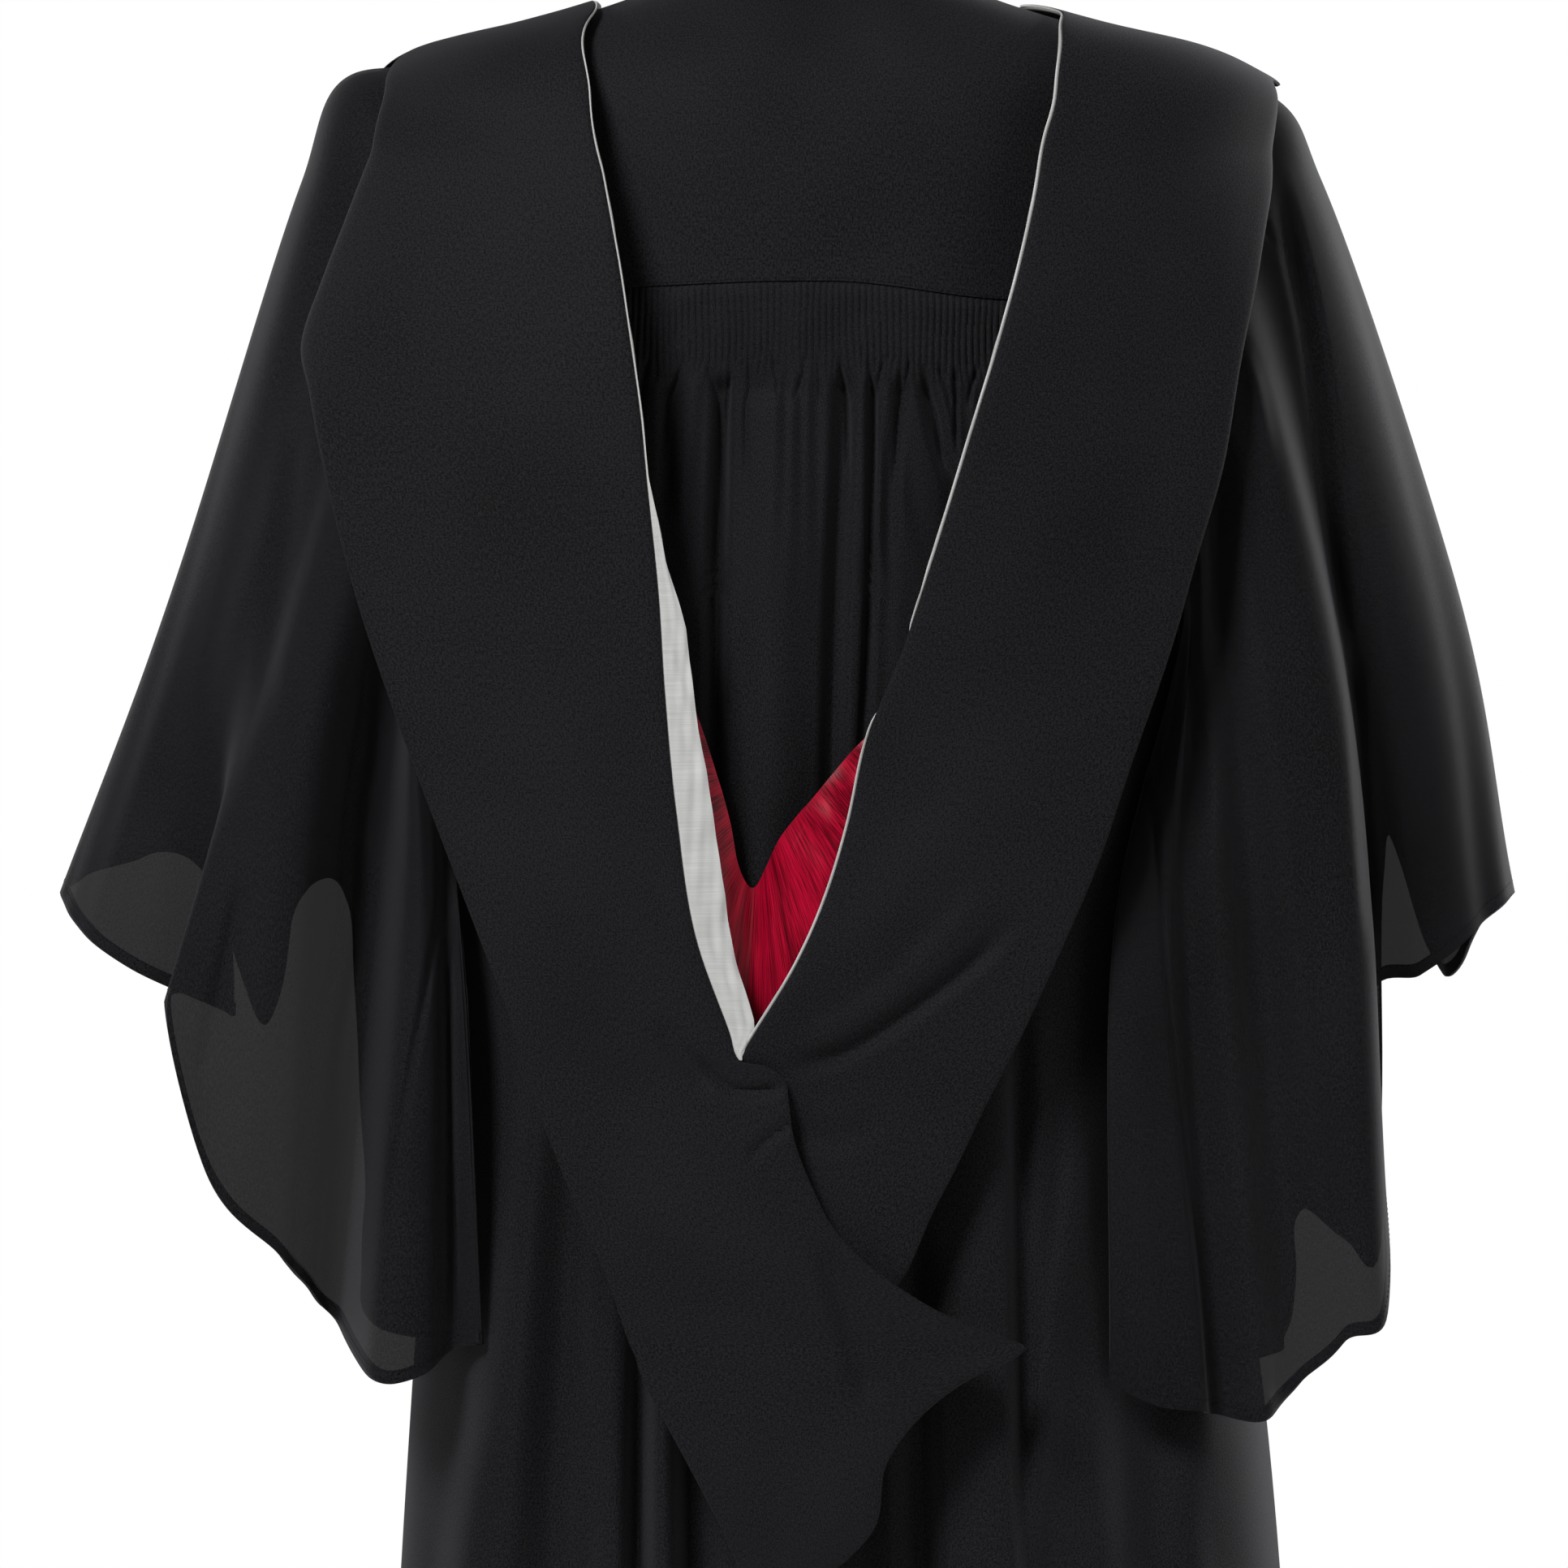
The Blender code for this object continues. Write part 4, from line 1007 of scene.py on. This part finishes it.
def crepe_group():
    """Pebbled crepe: a fine irregular grain and slow changes of tone."""
    group, given, result = new_group(
        "crepe grain", (("Grain per metre", 900), ("Slow tone", 0.5)), ("Grain", "Tone")
    )
    per_metre = given.outputs["Grain per metre"]
    pebble = noise_node(group, cloth_place(group), per_metre)
    finer = math_node(group, "MULTIPLY", per_metre, 1.7)
    thread = noise_node(group, cloth_place(group, (1.0, 0.22, 1.0)), finer)
    slow = noise_node(group, cloth_place(group), 9.0, 3.0)
    grain = math_node(group, "MULTIPLY", thread, 0.4)
    grain = math_node(group, "ADD", math_node(group, "MULTIPLY", pebble, 0.6), grain)
    drift = math_node(group, "MULTIPLY", slow, given.outputs["Slow tone"])
    tone = math_node(group, "ADD", math_node(group, "MULTIPLY", grain, 0.88), drift)
    group.links.new(grain, result.inputs["Grain"])
    group.links.new(tone, result.inputs["Tone"])
    return group


def satin_group():
    """Satin: long floating threads that run with the cloth."""
    group, given, result = new_group(
        "satin threads", (("Threads per metre", 1600), ("Slubs", 0.3)), ("Thread", "Tone")
    )
    place = cloth_place(group, (0.04, 1.0, 1.0))
    thread = noise_node(group, place, given.outputs["Threads per metre"])
    slubs = math_node(group, "MULTIPLY", noise_node(group, place, 60.0), given.outputs["Slubs"])
    tone = math_node(group, "ADD", math_node(group, "MULTIPLY", thread, 0.7), slubs)
    group.links.new(thread, result.inputs["Thread"])
    group.links.new(tone, result.inputs["Tone"])
    return group


def cloth_finish(name, group, height, tones, spread, roughness, bump, values, inputs):
    """A cloth material: its group's tone colours it and its group's height bumps it."""
    material = bpy.data.materials.new(name)
    material.use_nodes = True
    nodes, links = material.node_tree.nodes, material.node_tree.links
    shader = nodes["Principled BSDF"]
    effect = nodes.new("ShaderNodeGroup")
    effect.node_tree = group
    tone = nodes.new("ShaderNodeValToRGB")
    for end, place, colour in zip(tone.color_ramp.elements, spread, tones):
        end.position = place
        end.color = (*colour, 1)
    rough = nodes.new("ShaderNodeMapRange")
    relief = nodes.new("ShaderNodeBump")
    for node, given in (
        (effect, values),
        (rough, {"To Min": roughness[0], "To Max": roughness[1]}),
        (relief, {"Strength": bump[0], "Distance": bump[1]}),
        (shader, inputs),
    ):
        for socket, value in given.items():
            node.inputs[socket].default_value = value
    links.new(effect.outputs["Tone"], tone.inputs["Fac"])
    links.new(tone.outputs["Color"], shader.inputs["Base Color"])
    links.new(effect.outputs["Tone"], rough.inputs["Value"])
    links.new(rough.outputs["Result"], shader.inputs["Roughness"])
    links.new(effect.outputs[height], relief.inputs["Height"])
    links.new(relief.outputs["Normal"], shader.inputs["Normal"])
    return material


def shades(colour, dark, light):
    """The two ends of a cloth's tones."""
    return [tuple(channel * amount for channel in colour) for amount in (dark, light)]


FINISHES = {}
CREPE_SPREAD = (0.39, 0.61)
LINING_SPREAD = (0.53, 0.77)
PLAIN_SPREAD = (0.25, 0.75)


def finish(name):
    """The material of this name, made once from the gown's colours."""
    if FINISHES:
        return FINISHES[name]
    colours = bpy.context.scene.gown_colours
    crepe, satin = crepe_group(), satin_group()
    black = shades(colours.crepe, 0.2, 1.85)
    red = shades(colours.lining, 0.4, 1.75)
    white = shades(colours.ribbon, 0.8, 1.0)
    grain = {"Grain per metre": 1100, "Slow tone": 0.12}
    sheen = {
        "Sheen Weight": colours.sheen,
        "Sheen Roughness": 0.45,
        "Sheen Tint": (0.92, 0.93, 1.0, 1),
        "Specular IOR Level": 0.14,
    }
    see_through = {**sheen, "Alpha": colours.sleeve_cover}
    stitch_grain = {"Grain per metre": 2500, "Slow tone": 0.2}
    lining = {"Threads per metre": 1600, "Slubs": 0.6}
    ribbon = {"Threads per metre": 1800, "Slubs": 0.2}
    lining_shine = {"Anisotropic": 0.3, "Specular IOR Level": 0.22}
    ribbon_shine = {"Anisotropic": 0.3, "Specular IOR Level": 0.5}
    matt, fine = (0.66, 0.82), (0.35, 0.0004)
    for title, *looks in (
        # name, group, height, tones, spread, roughness, bump, group's values, shader's values
        ("crepe", crepe, "Grain", black, CREPE_SPREAD, matt, fine, grain, sheen),
        ("sleeve_crepe", crepe, "Grain", black, CREPE_SPREAD, matt, fine, grain, see_through),
        (
            "thread", crepe, "Grain", black, PLAIN_SPREAD, (0.5, 0.6), (0.2, 0.0002),
            stitch_grain, {"Specular IOR Level": 0.1},
        ),
        (
            "lining_satin", satin, "Thread", red, LINING_SPREAD, (0.2, 0.34), (0.25, 0.0002),
            lining, lining_shine,
        ),
        (
            "ribbon_satin", satin, "Thread", white, PLAIN_SPREAD, (0.34, 0.5), (0.15, 0.0002),
            ribbon, ribbon_shine,
        ),
    ):
        FINISHES[title] = cloth_finish(title, *looks)
    return FINISHES[name]


# Settings


def length(name, description, default):
    """A setting in metres."""
    return bpy.props.FloatProperty(
        name=name, description=description, default=default, unit="LENGTH"
    )


def factor(name, description, default):
    """A setting from 0 to 1."""
    return bpy.props.FloatProperty(
        name=name, description=description, default=default, subtype="FACTOR"
    )


def colour(name, description, default):
    """A colour setting, in linear light."""
    return bpy.props.FloatVectorProperty(
        name=name, description=description, default=default, subtype="COLOR"
    )


class GownSizes(bpy.types.PropertyGroup):
    wall: length("Cloth wall", "Thickness of the modelled cloth", 0.0015)
    flute_count: bpy.props.IntProperty(
        name="Flutes", description="Fine flutes across the back", default=91, min=1, max=200
    )
    flute_pitch: length("Flute pitch", "From one flute to the next", 0.0033)
    flute_depth: length("Flute depth", "How far a flute stands out", 0.0017)
    gather_depth: length("Gather depth", "How far the gathers under the flutes swing", 0.0045)
    hem: length("Sleeve hem", "Width of the turned hem", 0.007)
    ribbon: length("Ribbon wall", "Thickness of the ribbon", 0.001)
    stitch: length("Stitch pitch", "From one stitch to the next", 0.0028)


class GownColours(bpy.types.PropertyGroup):
    crepe: colour("Crepe", "Colour of the gown", (0.0103, 0.0103, 0.0122))
    lining: colour("Lining", "Colour of the satin lining", (0.36, 0.002, 0.022))
    ribbon: colour("Ribbon", "Colour of the hood's ribbon", (0.86, 0.86, 0.84))
    sheen: factor("Sheen", "Soft light along the cloth's edges", 0.12)
    sleeve_cover: factor("Sleeve cover", "How little one face lets through", 0.87)


class StageSettings(bpy.types.PropertyGroup):
    floor: length("Floor", "Height of the floor", -1.42)
    key: bpy.props.FloatProperty(
        name="Key light", description="Power of the main light", default=88.0, unit="POWER"
    )
    surround: bpy.props.FloatProperty(
        name="Surround", description="Light from the pale room", default=0.055
    )


# Grids that more than one piece needs

SHAPES = {}
MAKERS = {
    "yoke": yoke_points,
    "back_panel": lambda: back_points(bpy.context.scene.gown_sizes),
    "front_left": lambda: front_points(-1),
    "front_right": lambda: front_points(1),
    "sleeve_left": lambda: sleeve_points(-1, LEFT_SLEEVE_LINES, HEAD_RISE_LEFT),
    "sleeve_right": lambda: sleeve_points(1, RIGHT_SLEEVE_LINES, HEAD_RISE_RIGHT),
    "hood_left": lambda: band_points(
        hood_crossings(-1, CREST_OUTER_Z_LEFT, HOOD_LEFT_BACK, TAIL_LIFT, HOOD_TAIL),
        LEFT_HOOD_CREASES,
        HOOD_STEP_LEFT,
    ),
    "hood_right": lambda: band_points(
        hood_crossings(1, CREST_OUTER_Z_RIGHT, HOOD_RIGHT_BACK, 0),
        RIGHT_HOOD_CREASES,
        HOOD_STEP_RIGHT,
    ),
    "hood_lining": lining_points,
    "ribbon_left": lambda: ribbon_points(shape("hood_left"), RIBBON_LEFT),
    "ribbon_right": lambda: ribbon_points(shape("hood_right"), RIBBON_RIGHT),
}


def shape(name):
    """The points of a cloth piece, worked out once."""
    if name not in SHAPES:
        SHAPES[name] = MAKERS[name]()
    return SHAPES[name]


def hem_line(grid, up, closed=False):
    """Points and normals on a line that runs a little above a grid's last row."""
    way = grid[-1] - grid[-2]
    way = way / np.linalg.norm(way, axis=1, keepdims=True)
    return grid[-1] - way * up, out_normals(grid, closed)[-1], way


def turned_hem(grid, wall, width):
    """A strip turned up inside the hem of a sleeve."""
    line, out, way = hem_line(grid, 0.0, closed=True)
    inside = line - out * (wall + SEAM_GAP)
    ups = np.linspace(0.2 * MM, width, 7)
    return np.stack([inside - way * up for up in ups[::-1]])


def read_line(at, length_to, values):
    """The value at a length along a line, on each axis."""
    return np.array([np.interp(at, length_to, values[:, axis]) for axis in range(3)])


def sew(name, lines, pitch):
    """A row of small raised stitches along each line of points."""
    bpy.ops.object.select_all(action="DESELECT")
    bpy.ops.mesh.primitive_uv_sphere_add(segments=6, ring_count=4, radius=1)
    piece = bpy.context.object
    piece.name = name
    one = piece.data
    corners = np.array([tuple(vertex.co) for vertex in one.vertices])
    # The sphere's faces come in no fixed order, so each starts at its lowest corner
    faces = [tuple(polygon.vertices) for polygon in one.polygons]
    starts = [face.index(min(face)) for face in faces]
    faces = sorted(face[start:] + face[:start] for face, start in zip(faces, starts))
    size = np.array([0.36 * pitch, 0.28 * MM, 0.26 * MM])
    points, made = [], []
    for line, out in lines:
        length_to = np.linalg.norm(np.diff(line, axis=0), axis=1)
        length_to = np.concatenate([[0], np.cumsum(length_to)])
        for at in np.arange(pitch, length_to[-1] - pitch, pitch):
            centre = read_line(at, length_to, line)
            way = read_line(at + pitch / 4, length_to, line) - centre
            way = way / np.linalg.norm(way)
            up = read_line(at, length_to, out)
            up = up - way * (up @ way)
            up /= np.linalg.norm(up)
            first = len(points) * len(corners)
            points.append(centre + (corners * size) @ np.stack([way, np.cross(up, way), up]))
            made += [tuple(index + first for index in face) for face in faces]
    mesh = bpy.data.meshes.new(name)
    mesh.from_pydata(np.concatenate(points).tolist(), [], made)
    mesh.update()
    mesh.shade_smooth()
    piece.data = mesh
    bpy.data.meshes.remove(one)
    mesh.uv_layers.new(name="UVMap")
    mesh.materials.append(finish("thread"))
    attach(piece, "root")
    return piece


# Operators


class GOWN_OT_stage(bpy.types.Operator):
    """Adds the floor, the room's light, the lamps and the camera"""

    bl_idname = "gown.stage"
    bl_label = "Stage"

    def execute(self, context):
        settings = context.scene.gown_stage
        bpy.ops.object.select_all(action="DESELECT")
        bpy.ops.mesh.primitive_plane_add(size=8, location=(0, 0, settings.floor))
        bpy.ops.object.transform_apply(location=True, rotation=False, scale=False)
        floor = context.object
        floor.name = "floor"
        floor.data.materials.append(self.floor_finish())
        self.add_room(context.scene, settings)
        for name, place, size, share in LAMPS:
            self.add_lamp(name, place, size, settings.key * share)
        bpy.ops.object.camera_add(location=CAMERA_PLACE, rotation=(math.pi / 2, 0, 0))
        camera = context.object
        camera.name = "camera"
        camera.data.sensor_width = SENSOR_WIDTH
        camera.data.lens = SENSOR_WIDTH * VIEW_DISTANCE / VIEW_WIDTH
        context.scene.camera = camera
        context.scene.view_settings.view_transform = "Standard"
        return {"FINISHED"}

    def floor_finish(self):
        material = bpy.data.materials.new("pale_floor")
        material.use_nodes = True
        shader = material.node_tree.nodes["Principled BSDF"]
        shader.inputs["Base Color"].default_value = (0.86, 0.86, 0.86, 1)
        shader.inputs["Roughness"].default_value = 0.9
        return material

    def add_room(self, scene, settings):
        world = scene.world or bpy.data.worlds.new("room")
        scene.world = world
        world.use_nodes = True
        nodes, links = world.node_tree.nodes, world.node_tree.links
        nodes.clear()
        lights = []
        for strength in (settings.surround, BACKDROP_LIGHT):
            light = nodes.new("ShaderNodeBackground")
            light.inputs["Color"].default_value = (1, 1, 1, 1)
            light.inputs["Strength"].default_value = strength
            lights.append(light.outputs[0])
        seen = nodes.new("ShaderNodeLightPath")
        mix = nodes.new("ShaderNodeMixShader")
        output = nodes.new("ShaderNodeOutputWorld")
        links.new(seen.outputs["Is Camera Ray"], mix.inputs[0])
        links.new(lights[0], mix.inputs[1])
        links.new(lights[1], mix.inputs[2])
        links.new(mix.outputs[0], output.inputs["Surface"])

    def add_lamp(self, name, place, size, power):
        bpy.ops.object.light_add(type="AREA", location=place)
        lamp = bpy.context.object
        lamp.name = name
        lamp.data.size = size
        lamp.data.energy = power
        lamp.visible_camera = False
        way = Vector(LAMPS_AIM) - Vector(place)
        lamp.rotation_euler = way.to_track_quat("-Z", "Y").to_euler()


class GOWN_OT_yoke(bpy.types.Operator):
    """Lays the plain yoke over the shoulders"""

    bl_idname = "gown.yoke"
    bl_label = "Yoke"

    def execute(self, context):
        sizes = context.scene.gown_sizes
        piece = lay_sheet("yoke_cloth", shape("yoke"), finish("crepe"), sizes.wall)
        declare(piece, "yoke")
        return {"FINISHED"}


class GOWN_OT_back_panel(bpy.types.Operator):
    """Packs the back into fine flutes under the yoke and lets it hang in folds"""

    bl_idname = "gown.back_panel"
    bl_label = "Fluted back"

    def execute(self, context):
        piece = lay_sheet("back_cloth", shape("back_panel"), finish("crepe"), BACK_WALL)
        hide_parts("fluted_band")
        declare(piece, "back_panel")
        return {"FINISHED"}


class GOWN_OT_fronts(bpy.types.Operator):
    """Hangs the two fronts, open between them"""

    bl_idname = "gown.fronts"
    bl_label = "Fronts"

    def execute(self, context):
        sizes = context.scene.gown_sizes
        for node in ("front_left", "front_right"):
            piece = lay_sheet(node + "_cloth", shape(node), finish("crepe"), sizes.wall)
            declare(piece, node)
        return {"FINISHED"}


class GOWN_OT_sleeves(bpy.types.Operator):
    """Hangs the two wide open sleeves, each with its turned hem"""

    bl_idname = "gown.sleeves"
    bl_label = "Sleeves"

    def execute(self, context):
        sizes = context.scene.gown_sizes
        for node in ("sleeve_left", "sleeve_right"):
            grid, cloth = shape(node), finish("sleeve_crepe")
            piece = lay_sheet(node + "_cloth", grid, cloth, sizes.wall, closed=True)
            strip = turned_hem(grid, sizes.wall, sizes.hem)
            hem = lay_sheet(node + "_hem", strip, cloth, HEM_WALL, closed=True)
            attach(hem, "root")
            declare(piece, node)
        return {"FINISHED"}


class GOWN_OT_hood(bpy.types.Operator):
    """Lays the two bands of the hood and the tail that ends them"""

    bl_idname = "gown.hood"
    bl_label = "Hood"

    def execute(self, context):
        sizes = context.scene.gown_sizes
        for node in ("hood_left", "hood_right"):
            piece = lay_sheet(node + "_cloth", shape(node), finish("crepe"), sizes.wall)
            declare(piece, node)
        return {"FINISHED"}


class GOWN_OT_lining(bpy.types.Operator):
    """Turns the satin lining out in the V of the hood"""

    bl_idname = "gown.lining"
    bl_label = "Lining"

    def execute(self, context):
        sizes = context.scene.gown_sizes
        piece = lay_sheet("lining", shape("hood_lining"), finish("lining_satin"), sizes.ribbon)
        declare(piece, "hood_lining")
        return {"FINISHED"}


class GOWN_OT_ribbons(bpy.types.Operator):
    """Binds the white ribbon over the inner edge of each band"""

    bl_idname = "gown.ribbons"
    bl_label = "Ribbons"

    def execute(self, context):
        sizes = context.scene.gown_sizes
        for node, band in (("ribbon_left", "hood_left"), ("ribbon_right", "hood_right")):
            piece = lay_sheet(node + "_satin", shape(node), finish("ribbon_satin"), sizes.ribbon)
            declare(piece, node)
        return {"FINISHED"}


class GOWN_OT_stitching(bpy.types.Operator):
    """Sews the seams and the hems"""

    bl_idname = "gown.stitching"
    bl_label = "Stitching"

    def execute(self, context):
        pitch = context.scene.gown_sizes.stitch
        hem = context.scene.gown_sizes.hem
        yoke, yoke_out = shape("yoke"), out_normals(shape("yoke"))
        rise = yoke[-2] - yoke[-1]
        rise = rise / np.linalg.norm(rise, axis=1, keepdims=True)
        line = yoke[-1] + rise * 1.3 * MM
        middle = (yoke.shape[1] - 1) // 2
        back, left, right = slice(middle - 38, middle + 39), slice(16), slice(-16, None)
        out = yoke_out[-1]
        sew("yoke_stitches", [(line[back], out[back])], pitch)
        sew("front_yoke_stitches", [(line[left], out[left]), (line[right], out[right])], pitch)
        for node in ("sleeve_left", "sleeve_right"):
            line, out, _ = hem_line(shape(node), hem - 0.8 * MM, closed=True)
            sew(node + "_stitches", [(line, out)], pitch)
        lines = []
        for node in ("back_panel", "front_left", "front_right"):
            line, out, _ = hem_line(shape(node), GOWN_HEM)
            lines.append((line, out))
        sew("gown_hem_stitches", lines, pitch * 1.4)
        return {"FINISHED"}


class GOWN_PT_panel(bpy.types.Panel):
    """Every piece of the gown, with its sizes and colours"""

    bl_idname = "GOWN_PT_panel"
    bl_label = "Graduation gown"
    bl_space_type = "VIEW_3D"
    bl_region_type = "UI"
    bl_category = "Gown"

    def draw(self, context):
        layout = self.layout
        scene = context.scene
        for settings in (scene.gown_sizes, scene.gown_colours, scene.gown_stage):
            box = layout.box()
            for name in settings.__annotations__:
                box.prop(settings, name)
        for operator in PIECES:
            layout.operator(operator.bl_idname)


PIECES = (
    GOWN_OT_stage,
    GOWN_OT_yoke,
    GOWN_OT_back_panel,
    GOWN_OT_fronts,
    GOWN_OT_sleeves,
    GOWN_OT_hood,
    GOWN_OT_lining,
    GOWN_OT_ribbons,
    GOWN_OT_stitching,
)
CLASSES = (GownSizes, GownColours, StageSettings, *PIECES, GOWN_PT_panel)


def register():
    for part in CLASSES:
        bpy.utils.register_class(part)
    bpy.types.Scene.gown_sizes = bpy.props.PointerProperty(type=GownSizes)
    bpy.types.Scene.gown_colours = bpy.props.PointerProperty(type=GownColours)
    bpy.types.Scene.gown_stage = bpy.props.PointerProperty(type=StageSettings)


def unregister():
    del bpy.types.Scene.gown_stage
    del bpy.types.Scene.gown_colours
    del bpy.types.Scene.gown_sizes
    for part in reversed(CLASSES):
        bpy.utils.unregister_class(part)


def main():
    register()
    bpy.ops.gown.stage()
    bpy.ops.gown.yoke()
    bpy.ops.gown.back_panel()
    bpy.ops.gown.fronts()
    bpy.ops.gown.sleeves()
    bpy.ops.gown.hood()
    bpy.ops.gown.lining()
    bpy.ops.gown.ribbons()
    bpy.ops.gown.stitching()


if __name__ == "__main__":
    main()
